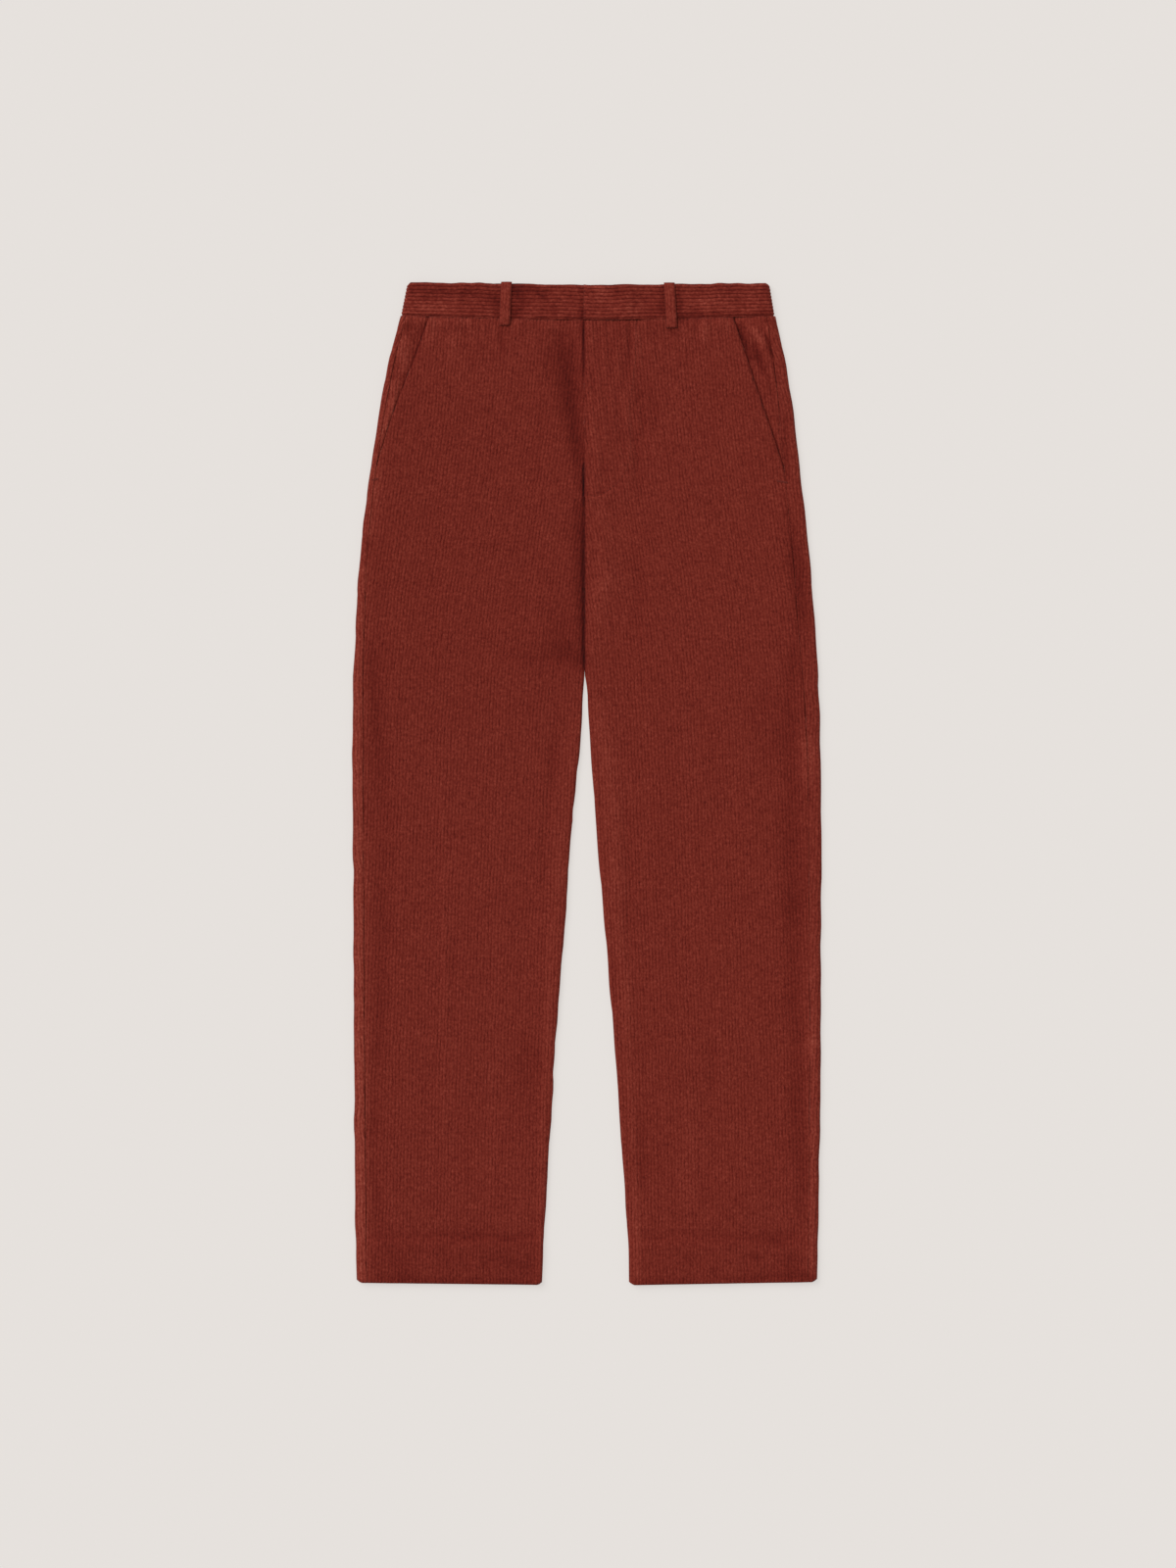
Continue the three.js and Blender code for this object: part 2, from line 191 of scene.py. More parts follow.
def rib_columns(down, inner, outer, spare):
    """Rib coordinates of the columns that cover a panel from its inner edge to its outer one, an
    even number of them to each rib, with some to spare on each side."""
    step = RIB_PITCH / RIB_COLUMNS
    first = (inner - drift(down)).min() - spare[0]
    last = (outer - drift(down)).max() + spare[1]
    return np.arange(math.floor(first / step), math.ceil(last / step) + 1) * step


def panel_rows(with_fly):
    """Distances down of a panel's rows: close at the waist seam, the fly's foot and the hem."""
    seat = [(70, 206, 14), (206, 232, 13)] if with_fly else [(70, 232, 17)]
    spans = [(PANEL_TOP, 70, 8), *seat, (232, 1002, 76), (1002, PANEL_FOOT, 16)]
    rows = [np.linspace(start, end, steps, endpoint=False) for start, end, steps in spans]
    return np.concatenate([*rows, [PANEL_FOOT]])


def settle_ends(down, across, side, edges):
    """Bends the first rows to the waist seam and the last ones to the hem and its round corners."""
    x = side * across
    to_corner = np.minimum(edges["side"][1, -1] - across, across - edges["inner"][1, -1])
    rounded = 1 - smooth(to_corner, HEM_CORNER["from"], HEM_CORNER["to"])
    waist = np.interp(x, WAIST_SEAM["x"], WAIST_SEAM["down"])
    hem = np.interp(x, HEM_LINE["x"], HEM_LINE["down"]) - HEM_CORNER["drop"] * rounded
    near_waist = np.clip(1 - (down - PANEL_TOP) / END_REACH, 0, 1)
    near_hem = np.clip(1 - (PANEL_FOOT - down) / END_REACH, 0, 1)
    return down + (waist - PANEL_TOP) * near_waist + (hem - PANEL_FOOT) * near_hem


def lay_cloth(name, columns, rows, place, turned, wall=CLOTH, hem=1.0, bolt=0.0):
    """A sheet of cloth: a grid of ribs by rows whose points go where place puts them. Place takes
    the column and row of every point and gives x, down, z, the rib coordinate and the tone. Its
    wall is hem times as thick where it is turned up inside at the bottom, and bolt says how many
    metres along the bolt of cloth it was cut."""
    bm = bmesh.new()
    bmesh.ops.create_grid(bm, x_segments=len(columns) - 1, y_segments=len(rows) - 1, size=1)
    mesh = bpy.data.meshes.new(name)
    bm.to_mesh(mesh)
    bm.free()
    flat = np.empty(len(mesh.vertices) * 3)
    mesh.vertices.foreach_get("co", flat)
    flat = flat.reshape(-1, 3)
    column = np.rint((flat[:, 0] + 1) / 2 * (len(columns) - 1)).astype(int)
    row = np.rint((flat[:, 1] + 1) / 2 * (len(rows) - 1)).astype(int)
    x, down, z, chart, tone = place(columns[column], rows[row])
    points = np.stack([x * MM, CAD_HIGH[1] - down * MM, z * MM], axis=1)
    mesh.vertices.foreach_set("co", points.ravel())

    corners = np.empty(len(mesh.loops), int)
    mesh.loops.foreach_get("vertex_index", corners)
    uv = np.stack([chart * MM, rows[row] * MM + bolt], axis=1)[corners]
    mesh.uv_layers.new(name="cloth").data.foreach_set("uv", uv.ravel())
    mesh.attributes.new("tone", "FLOAT", "POINT").data.foreach_set("value", tone.astype(np.float32))

    bm = bmesh.new()
    bm.from_mesh(mesh)
    bmesh.ops.remove_doubles(bm, verts=bm.verts, dist=0.01 * MM)
    if turned:
        bmesh.ops.reverse_faces(bm, faces=bm.faces)
    bm.to_mesh(mesh)
    bm.free()
    hem_top = CAD_HIGH[1] - HEM_TOP * MM
    doubled = [v.index for v in mesh.vertices if v.co.y < hem_top]
    single = [v.index for v in mesh.vertices if v.co.y >= hem_top]
    mesh.polygons.foreach_set("use_smooth", [True] * len(mesh.polygons))
    piece = bpy.data.objects.new(name, mesh)
    bpy.context.scene.collection.objects.link(piece)
    layers = piece.vertex_groups.new(name="layers")
    layers.add(doubled, 1.0, "REPLACE")
    layers.add(single, 1 / hem, "REPLACE")
    thickness = piece.modifiers.new("wall", "SOLIDIFY")
    thickness.thickness = wall * hem * MM
    thickness.offset = -1
    thickness.vertex_group = "layers"
    return piece


# The pile's colour at an even brightness, and how fast each channel follows the brightness:
# lighter places, brushed pile and painted light alike, turn greyer, and darker ones, the painted
# shade between the ribs among them, a purer red.
PILE = [
    {"channel": "Red", "amount": 0.170, "gain": 1.0},
    {"channel": "Green", "amount": 0.0194, "gain": 1.9},
    {"channel": "Blue", "amount": 0.0110, "gain": 2.1},
]
# The unevenness of the pile, from single fibres to worn clouds: the size of its spots across and
# along the ribs, the detail in them, and how far they swing the brightness.
PILE_SPOTS = {
    "fibres": {"across": 0.5, "along": 1.8, "detail": 3.0, "swing": 0.22},
    "tufts": {"across": 1.9, "along": 2.9, "detail": 3.0, "swing": 0.28},
    "mottle": {"across": 4.6, "along": 6.5, "detail": 2.0, "swing": 0.115},
    "clouds": {"across": 24, "along": 34, "detail": 3.0, "swing": 0.045},
}


def corduroy(name, pitch=RIB_PITCH, groove_shade=0.59, uneven=1.0, closes=0.15, strays=0.24):
    """Cut cotton pile: ribs with darker grooves, brushed fibres along them, and the painted light
    and shade that the tone attribute carries. A groove strays by a share of the pitch, and here and
    there closes to a share of its depth."""
    material = bpy.data.materials.new(name)
    material.use_nodes = True
    nodes, links = material.node_tree.nodes, material.node_tree.links
    shader = nodes["Principled BSDF"]
    chart = nodes.new("ShaderNodeUVMap")
    chart.uv_map = "cloth"

    def noise(size_across, size_along, detail):
        stretch = nodes.new("ShaderNodeMapping")
        stretch.inputs["Scale"].default_value = (1 / (size_across * MM), 1 / (size_along * MM), 1)
        texture = nodes.new("ShaderNodeTexNoise")
        texture.inputs["Scale"].default_value = 1
        texture.inputs["Detail"].default_value = detail
        links.new(chart.outputs["UV"], stretch.inputs["Vector"])
        links.new(stretch.outputs["Vector"], texture.inputs["Vector"])
        return texture.outputs["Fac"]

    def scaled(value, low, high, from_low=0.3, from_high=0.7):
        node = nodes.new("ShaderNodeMapRange")
        node.inputs["From Min"].default_value = from_low
        node.inputs["From Max"].default_value = from_high
        node.inputs["To Min"].default_value = low
        node.inputs["To Max"].default_value = high
        links.new(value, node.inputs["Value"])
        return node.outputs["Result"]

    def math_node(operation, first, second=None):
        node = nodes.new("ShaderNodeMath")
        node.operation = operation
        for slot, value in enumerate((first, second)):
            if isinstance(value, (int, float)):
                node.inputs[slot].default_value = value
            elif value is not None:
                links.new(value, node.inputs[slot])
        return node.outputs["Value"]

    split = nodes.new("ShaderNodeSeparateXYZ")
    links.new(chart.outputs["UV"], split.inputs["Vector"])
    stray = scaled(noise(5, 10, 2.0), -strays, strays)
    run = math_node("ADD", math_node("MULTIPLY", split.outputs["X"], 1 / (pitch * MM)), stray)
    from_crest = math_node("ABSOLUTE", math_node("SUBTRACT", math_node("FRACT", run), 0.5))
    closed = scaled(noise(7, 15, 2.0), closes, 1.0, 0.36, 0.62)
    # The grooves are darker: partly the ground weave's own colour, partly painted shade.
    sunk = math_node("MULTIPLY", scaled(from_crest, 0.0, 1 - groove_shade, 0.28, 0.5), closed)
    groove = math_node("SUBTRACT", 1.0, sunk)

    spots = {
        kind: noise(spot["across"], spot["along"], spot["detail"])
        for kind, spot in PILE_SPOTS.items()
    }
    brightness = groove
    for kind, spot in PILE_SPOTS.items():
        swing = spot["swing"] * (uneven if kind in ("mottle", "clouds") else 1)
        swung = scaled(spots[kind], 1 - swing, 1 + swing)
        brightness = math_node("MULTIPLY", brightness, swung)
    # The tone attribute brings painted light and shade of the folds, seams and edges, with some
    # random unevenness.
    painted_tone_node = nodes.new("ShaderNodeAttribute")
    painted_tone_node.attribute_name = "tone"
    painted_tone_factor = math_node("ADD", painted_tone_node.outputs["Fac"], 1.0)
    brightness = math_node("MULTIPLY", brightness, painted_tone_factor)

    pile = nodes.new("ShaderNodeCombineColor")
    for row in PILE:
        value = math_node("POWER", brightness, row["gain"])
        links.new(math_node("MULTIPLY", value, row["amount"]), pile.inputs[row["channel"]])
    links.new(pile.outputs["Color"], shader.inputs["Base Color"])

    relief = nodes.new("ShaderNodeBump")
    relief.inputs["Strength"].default_value = 0.5
    relief.inputs["Distance"].default_value = 0.35 * MM
    links.new(math_node("ADD", spots["fibres"], spots["tufts"]), relief.inputs["Height"])
    links.new(relief.outputs["Normal"], shader.inputs["Normal"])
    links.new(scaled(spots["fibres"], 0.86, 0.98), shader.inputs["Roughness"])
    shader.inputs["Specular IOR Level"].default_value = 0.15
    shader.inputs["Sheen Weight"].default_value = 0.30
    shader.inputs["Sheen Roughness"].default_value = 0.45
    shader.inputs["Sheen Tint"].default_value = (0.85, 0.36, 0.28, 1)
    return material


CORDUROY = corduroy("corduroy")

# The lines that the pieces are laid between, read from the CAD panels: distances down and across.
EDGES = {}
for name, side in SIDES.items():
    facing_seam = cut_line(f"pocket_facing_{name}", side, np.max) + [[0], [SEAM_GAP]]
    front_end = cut_line(f"front_{name}", side, np.max)
    below_pocket = front_end[:, front_end[0] > facing_seam[0, -1] + 5] + [[0], [SEAM_GAP]]
    EDGES[name] = {
        "side": spread(waver(cut_line(f"back_{name}", side, np.max), 71 + side)),
        "inner": meet(waver(cut_line(f"back_{name}", side, np.min), 74 + side, 430)),
        "seam": np.concatenate([facing_seam, below_pocket], axis=1),
        "front": front_end,
        "mouth": front_end[:, front_end[0] <= facing_seam[0, -1] + 0.5],
        "pocket_end": facing_seam[0, -1],
    }

LOFT = {
    "down": [36, 312, 600, 1002, 1012, 1054],
    "middle": [5.9, 5.7, 5.1, 5.1, 6.8, 6.8],
    "fold": [5.8, 5.8, 5.6, 5.6, 7.0, 7.0],
}
FLY = {"end": 222, "underlap": 10, "width": 34, "lift": 1.6, "slope": 28, "settled": 246}
FLY_OPENS = {
    "down": [38, 48, 90, 112, 182, 198, 228, 250],
    "by": [0.5, 1.1, 1.0, 0.06, 0.06, 1.25, 1.25, 0.35],
}
POCKET_LIFT = {"left": 0.8, "right": 0.35}
FLY_SHADOW = {"across": 3.9, "reach": 1.5, "dark": 0.62}
WAIST_RIDGE = {"down": 44.5, "reach": 5, "height": 0.7}
PRESSED_SEAM = 0.06
FOLD_GAIN = {"height": 1.3, "shade": 1.7}

# The unevenness of washed cloth, and its puckers: where they are, how far they stand up and how
# much lighter they are, how far they are drawn out along the cloth, their size and their seed.
PUCKERS = [
    ("where", "lift", "tone", "drawn", "size", "seed"),
    ("all", 0.20, 0, 0.4, 46, 21),
    ("all", 0.055, 0, 0.7, 19, 22),
    ("waist", 0.45, 0, 0.1, 15, 23),
    ("yoke", 0.15, 0, 0.12, 8, 26),
    ("yoke", 0, 0.05, 0.12, 8, 27),
    # the fly's puckers are painted lighter on their crests and darker in their hollows
    ("fly", 0.22, 0.045, 0.12, 9, 25),
    ("hem", 0.22, 0, 0.6, 20, 24),
]

# The lie of the front, one row to each fold or painted place: where it runs (x and down), how far
# it stands up (or sinks, below zero), how far it reaches to each side, and how much painted light
# (or painted shade, below zero) it carries. A single number holds along the whole run. Each table
# of folds names its columns in its first row.
FRONT_FOLDS = [
    ("path", "height", "width", "shade"),
    # right front: the hollow beside the fly, and the deep one that it becomes at the crotch
    ([(-24, 48), (-23, 80), (-19, 115), (-14, 150), (-9, 185), (-6, 218)],
     [-0.9, -1.5, -1.6, -1.3, -1.0, -0.5], [12, 13, 12, 9, 7, 5],
     [-0.07, -0.2, -0.22, -0.22, -0.2, -0.12]),
    ([(-9, 234), (-9, 270), (-8, 310), (-7, 350), (-6, 385), (-5, 404)],
     [-0.8, -1.0, -1.0, -0.9, -0.7, -0.4], [6, 7, 6, 5, 4.5, 4],
     [-0.14, -0.18, -0.17, -0.15, -0.12, -0.08]),
    ([(-3.9, 236), (-4.0, 270), (-4.0, 310), (-3.8, 350), (-3.6, 385), (-3.2, 410)],
     [-0.5, -0.9, -1.0, -1.0, -0.9, -0.5], [1.6, 2.2, 2.2, 2.0, 1.7, 1.5],
     [-0.22, -0.34, -0.36, -0.36, -0.36, -0.3]),
    ([(-42, 72), (-41, 104)], -0.5, 5, [-0.09, -0.07]),
    # right leg: the crease under the crotch, the hollows by its seams, its pressed line
    ([(-82, 391), (-50, 392), (-22, 390), (-8, 397)], [-0.3, -0.8, -1.3, -1.0], [6, 8, 10, 8],
     [-0.03, -0.07, -0.14, -0.14]),
    ([(-28, 345), (-24, 384)], [-0.3, -0.4], [20, 22], [-0.05, -0.06]),
    ([(-225, 392), (-221, 440), (-219, 500), (-211, 545), (-211, 610), (-214, 680)],
     [-0.6, -0.7, -0.8, -0.4, -0.4, -0.4], [9, 9, 9, 12, 12, 11],
     [-0.08, -0.09, -0.1, -0.05, -0.04, -0.05]),
    ([(-214, 680), (-217, 770), (-224, 840), (-224, 925), (-219, 990)],
     [-0.4, -0.5, -0.4, -0.5, -0.4], [11, 9, 8, 7, 6], [-0.05, -0.07, -0.05, -0.08, -0.08]),
    ([(-153, 560), (-149, 680), (-148, 790), (-150, 900)], [0.2, 0.4, 0.4, 0.2], 3,
     [0.01, 0.03, 0.03, 0.01]),
    ([(-142, 690), (-141, 770)], -0.2, 5, [-0.04, -0.02]),
    ([(-12, 470), (-24, 560), (-33, 650), (-38, 740), (-42, 820), (-47, 900), (-51, 1040)],
     [0.3, 0.5, 0.5, 0.5, 0.5, 0.5, 0.4], [7, 8, 8, 7, 4, 4, 4],
     [0.03, 0.07, 0.07, 0.07, 0.09, 0.08, 0.05]),
    ([(-35, 470), (-37, 520), (-46, 580), (-48, 640)], [-0.4, -0.5, -0.5, -0.3], 5,
     [-0.05, -0.06, -0.05, -0.03]),
    ([(-63, 795), (-61, 830), (-58, 870)], [-0.4, -0.6, -0.4], 14, [-0.05, -0.06, -0.04]),
    ([(-235, 300), (-240, 380), (-243, 480), (-243, 600), (-241, 700), (-240, 800), (-238, 1045)],
     0.1, [7, 8, 9, 9, 10, 10, 9], [0.14, 0.18, 0.2, 0.22, 0.22, 0.24, 0.25]),
    ([(-205, 110), (-214, 150), (-222, 200), (-228, 262)], [0.1, 0.1, 0.2, 0.1], [7, 6, 7, 7],
     [0.1, 0.11, 0.16, 0.15]),
    # left front: the fly's edge, its row of stitching, and the small hollows round them
    ([(6, 110), (7, 160), (8, 200), (7, 228)], [0.3, 0.4, 0.5, 0.3], [4, 4, 5, 4],
     [0.02, 0.05, 0.08, 0.03]),
    ([(51, 48), (51, 80), (48, 104), (43, 138), (46, 165), (46, 192), (44, 206)],
     [0.3, 0.5, 0.3, 0.4, 0.4, 0.4, 0.2], 3, [0.03, 0.08, 0.03, 0.06, 0.07, 0.06, 0.03]),
    ([(-2, 222.6), (8.5, 224), (15.3, 222.4), (23.4, 217)], [-0.4, -0.4, -0.4, -0.2], 1.6,
     [-0.1, -0.12, -0.12, -0.06]),
    ([(-1, 227), (8.5, 228.4), (17, 226.4), (26, 220.6)], [0.3, 0.4, 0.4, 0.2], 1.8,
     [0.04, 0.08, 0.08, 0.04]),
    ([(45, 50), (43, 80), (40, 109)], [-0.5, -0.6, -0.4], 4, [-0.07, -0.09, -0.06]),
    ([(33, 148), (33, 172)], [-0.5, -0.4], 4, [-0.06, -0.05]),
    ([(50, 160), (51, 190), (52, 214)], [-0.3, -0.4, -0.3], [4, 4, 5], [-0.04, -0.06, -0.05]),
    ([(56, 106), (53, 136)], [-0.4, -0.5], 6, [-0.06, -0.08]),
    ([(71, 130), (69, 148)], -0.3, 5, [-0.05, -0.06]),
    ([(59, 153), (65, 158)], -0.3, 5, [-0.07, -0.05]),
    ([(14, 244), (18, 280), (20, 312), (12, 337), (10, 362), (6, 388)],
     [0.8, 1.0, 1.3, 1.2, 0.8, 0.4], [9, 10, 10, 9, 8, 6], [0.05, 0.04, 0.1, 0.09, 0.06, 0.03]),
    ([(51, 286), (55, 330), (54, 374)], [-0.3, -0.4, -0.3], 9, [-0.05, -0.05, -0.03]),
    # left leg: the long hollow inside the side seam, painted in shade, and the strip outside it,
    # painted light
    ([(208, 142), (209, 172), (211, 204)], [-0.5, -0.5, -0.4], 3, [-0.1, -0.12, -0.1]),
    ([(213, 240), (217, 275), (222, 305), (224, 330), (226, 364)], [-0.4, -0.7, -1.0, -0.9, -0.6],
     [6, 7, 9, 9, 8], [-0.06, -0.13, -0.19, -0.17, -0.11]),
    ([(217, 388), (213, 440), (213, 480), (216, 512), (215, 560), (214, 605), (216, 655)],
     [-0.6, -0.7, -0.8, -0.8, -0.7, -0.8, -0.7], [9, 11, 12, 12, 12, 13, 12],
     [-0.1, -0.09, -0.1, -0.08, -0.09, -0.11, -0.09]),
    ([(216, 655), (217, 705), (215, 755), (220, 785), (221, 830), (220, 868), (223, 912),
      (226, 945), (227, 985)], [-0.7, -0.6, -0.8, -0.6, -0.5, -0.7, -0.7, -0.6, -0.4],
     [12, 11, 11, 9, 9, 11, 10, 8, 7],
     [-0.09, -0.08, -0.11, -0.07, -0.06, -0.11, -0.1, -0.08, -0.05]),
    ([(188, 438), (190, 490)], -0.3, 16, -0.05),
    ([(231, 484), (231, 522)], [0.4, 0.3], 8, [0.18, 0.15]),
    ([(238, 555), (238, 640), (236, 738), (237, 800)], [0.2, 0.2, 0.4, 0.4], 6,
     [0.03, 0.02, 0.11, 0.13]),
    ([(237, 800), (237, 870), (238, 930), (236, 1035)], [0.4, 0.3, 0.4, 0.3], 6,
     [0.14, 0.1, 0.14, 0.13]),
    ([(11, 446), (20, 500), (26, 545), (29, 600), (31, 650), (34, 700), (40, 750), (43, 810),
      (47, 880), (50, 950), (53, 1040)], [0.4, 0.7, 0.8, 0.8, 0.7, 0.6, 0.7, 0.5, 0.4, 0.4, 0.4],
     [8, 12, 12, 11, 10, 8, 7, 6, 5, 5, 6],
     [0.06, 0.13, 0.11, 0.11, 0.1, 0.08, 0.11, 0.08, 0.09, 0.1, 0.13]),
    ([(40, 548), (45, 620), (43, 692)], [-0.4, -0.5, -0.4], 5, -0.02),
    ([(27, 715), (35, 718)], [-0.5, -0.4], 2.5, [-0.15, -0.1]),
    ([(57, 885), (58, 940)], -0.4, 7, -0.08),
    ([(131, 803), (132, 842)], -0.3, 5, [-0.05, -0.06]),
    ([(140, 745), (139, 800)], [0.3, 0.2], 3, [0.03, 0.02]),
    ([(108, 862), (108, 958)], 0.3, 9, [0.03, 0.05]),
    # puffed and pulled places just below the waistband and its loops
    ([(-166, 48), (-163, 62)], [0.7, 0.5], 8, [0.12, 0.09]),
    ([(-192, 42), (-124, 44)], 0.4, [3.6, 3.2], [0.12, 0.1]),
    ([(-42, 45), (-12, 46)], 0.4, 3.4, [0.11, 0.12]),
    ([(98, 39), (188, 37)], -0.2, 2.4, -0.14),
    ([(-140, 62), (-139, 78)], [0.4, 0.3], [7, 6], 0.05),
    ([(-129, 84), (-128, 94)], 0.3, 5, [0.06, 0.05]),
    ([(-90, 54), (-90, 74)], [-0.5, -0.4], 4, -0.08),
    ([(87, 52), (92, 53)], -0.4, 3, -0.1),
    ([(122, 44), (123, 60)], [0.8, 0.6], [6, 5], [0.18, 0.13]),
    ([(141, 43), (149, 47)], [0.6, 0.5], 5, [0.15, 0.11]),
    # hems: the dimpled line of hidden stitches, and the puckered turn-up below it
    ([(-228, 1001), (-180, 1000), (-147, 1002), (-129, 1004), (-100, 1002), (-80, 1005),
      (-58, 1002)], [-0.5, -0.6, -0.7, -0.9, -0.7, -0.8, -0.7], 4,
     [-0.08, -0.09, -0.12, -0.15, -0.12, -0.13, -0.1]),
    ([(62, 1003), (110, 1003), (150, 1003), (176, 1004), (197, 1006), (217, 1003)],
     [-0.5, -0.3, -0.6, -0.7, -0.9, -0.6], [4, 4, 4, 4, 6, 4],
     [-0.06, -0.03, -0.08, -0.09, -0.17, -0.08]),
    ([(-62, 1036), (-90, 1024), (-108, 1030)], [-0.2, -0.3, -0.2], [8, 7, 7],
     [-0.05, -0.04, -0.04]),
    ([(-215, 1049), (-60, 1052)], -0.2, 4, -0.09),
    ([(66, 1051), (120, 1051)], -0.2, 4, [-0.1, -0.07]),
    ([(150, 1049), (228, 1047)], -0.2, 4.5, [-0.09, -0.12]),
    ([(-205, 1012), (-192, 1044)], [-0.3, -0.4], [7, 8], [-0.06, -0.09]),
    ([(-132, 1012), (-120, 1012)], 0.3, 5, [0.06, 0.05]),
    ([(-165, 1028), (-162, 1040)], 0.3, 7, 0.05),
    ([(212, 1024), (214, 1042)], -0.3, 9, -0.08),
    ([(104, 1026), (112, 1028)], -0.3, 6, [-0.07, -0.06]),
    ([(134, 1044), (141, 1046)], -0.3, [6, 5], [-0.1, -0.08]),
    ([(172, 1024), (180, 1026)], -0.3, 6, -0.07),
]


def lie(x, down, folds):
    """How far the folds move the cloth up, and the painted light and shade they put on it, point by
    point.
    """
    x, down = np.broadcast_arrays(np.asarray(x, float), np.asarray(down, float))
    lift, tone = np.zeros(x.shape), np.zeros(x.shape)
    header, *rows = folds
    for row in rows:
        fold = dict(zip(header, row))
        path = np.array(fold.pop("path"), float)
        columns = {key: np.broadcast_to(value, len(path)) for key, value in fold.items()}
        found = {key: np.zeros(x.shape) for key in columns}
        best = np.full(x.shape, np.inf)
        for part in range(len(path) - 1):
            run = path[part + 1] - path[part]
            t = ((x - path[part, 0]) * run[0] + (down - path[part, 1]) * run[1]) / (run @ run)
            t = np.clip(t, 0, 1)
            far = np.hypot(x - path[part, 0] - t * run[0], down - path[part, 1] - t * run[1])
            nearer = far < best
            best = np.where(nearer, far, best)
            for key, column in columns.items():
                found[key] = np.where(nearer, mix(column[part], column[part + 1], t), found[key])
        fade = np.exp(-((best / found["width"]) ** 2))
        lift = lift + FOLD_GAIN["height"] * found["height"] * fade
        tone = tone + FOLD_GAIN["shade"] * found["shade"] * fade
    return lift, tone


def seam_shown(name, down):
    """How far a side seam sinks between its two panels: the right one is pressed almost flat."""
    if name == "right":
        return np.full(np.shape(down), PRESSED_SEAM)
    return 0.12 + 0.08 * ripple(down, 0, 110, 62) + 0.35 * (1 - smooth(down, 196, 214))


def front_height(name, across, down):
    """The lie of a front before its folds: up to the folded edges, over the pocket and the fly."""
    edges = EDGES[name]
    middle = np.interp(down, LOFT["down"], LOFT["middle"])
    fold = np.interp(down, LOFT["down"], LOFT["fold"])
    from_side = along(edges["side"], down) - across
    from_inseam = across - along(edges["inner"], down)
    curl = smooth(down, *CROTCH_CURL)
    near_edge = np.maximum(1 - smooth(from_side, 10, 60), curl * (1 - smooth(from_inseam, 8, 50)))
    from_mouth = along(edges["mouth"], down) - across
    above_foot = 1 - smooth(down, edges["pocket_end"], FLY["settled"])
    over_pocket = (1 - smooth(from_mouth, 14, 60)) * above_foot
    height = mix(middle, fold, near_edge) + POCKET_LIFT[name] * over_pocket
    if name == "left":
        over = 1 - smooth(across, FLY["width"], FLY["width"] + FLY["slope"])
        height = height + FLY["lift"] * over * (1 - smooth(down, FLY["end"], FLY["settled"]))
    return height


def drape(x, down):
    """The folds of the front, the puckers under the waist seam and over the hem, and the slight
    unevenness of washed cloth between them: the lift, and the tone with the painted light and shade
    of the folds."""
    lift, tone = lie(x, down, FRONT_FOLDS)
    share = {
        "all": 1.0,
        "waist": 1 - smooth(down, 38, 62),
        "yoke": 1 - smooth(down, 46, 104),
        "fly": smooth(x, -2, 6) * (1 - smooth(x, 56, 84)) * (1 - smooth(down, 190, 250)),
        "hem": smooth(down, 1000, 1012),
    }
    for where, raised, lighter, drawn, size, seed in PUCKERS[1:]:
        waves = share[where] * ripple(x, down * drawn, size, seed)
        lift, tone = lift + raised * waves, tone + lighter * waves
    # the seam allowance makes a ridge below the waistband, and the right leg lies in more shade
    from_ridge = (down - WAIST_RIDGE["down"]) / WAIST_RIDGE["reach"]
    lift = lift + WAIST_RIDGE["height"] * np.exp(-(from_ridge ** 2))
    tone = tone - 0.03 * smooth(-x, 4, 30) * smooth(down, 80, 140) * (1 - smooth(down, 400, 560))
    # the turned-up hem is darker, more so on the right leg
    tone = tone - share["hem"] * np.where(x < 0, 0.07, 0.02)
    return lift, tone


def arc(wide, high):
    """About how much cloth a quarter of an oval fold takes."""
    return math.pi / 2 * np.hypot(wide, high) / math.sqrt(2)


def fly_open(down):
    """How far the fly's folded edge stands off the cloth under it, from the waist seam down."""
    return np.interp(down, FLY_OPENS["down"], FLY_OPENS["by"])


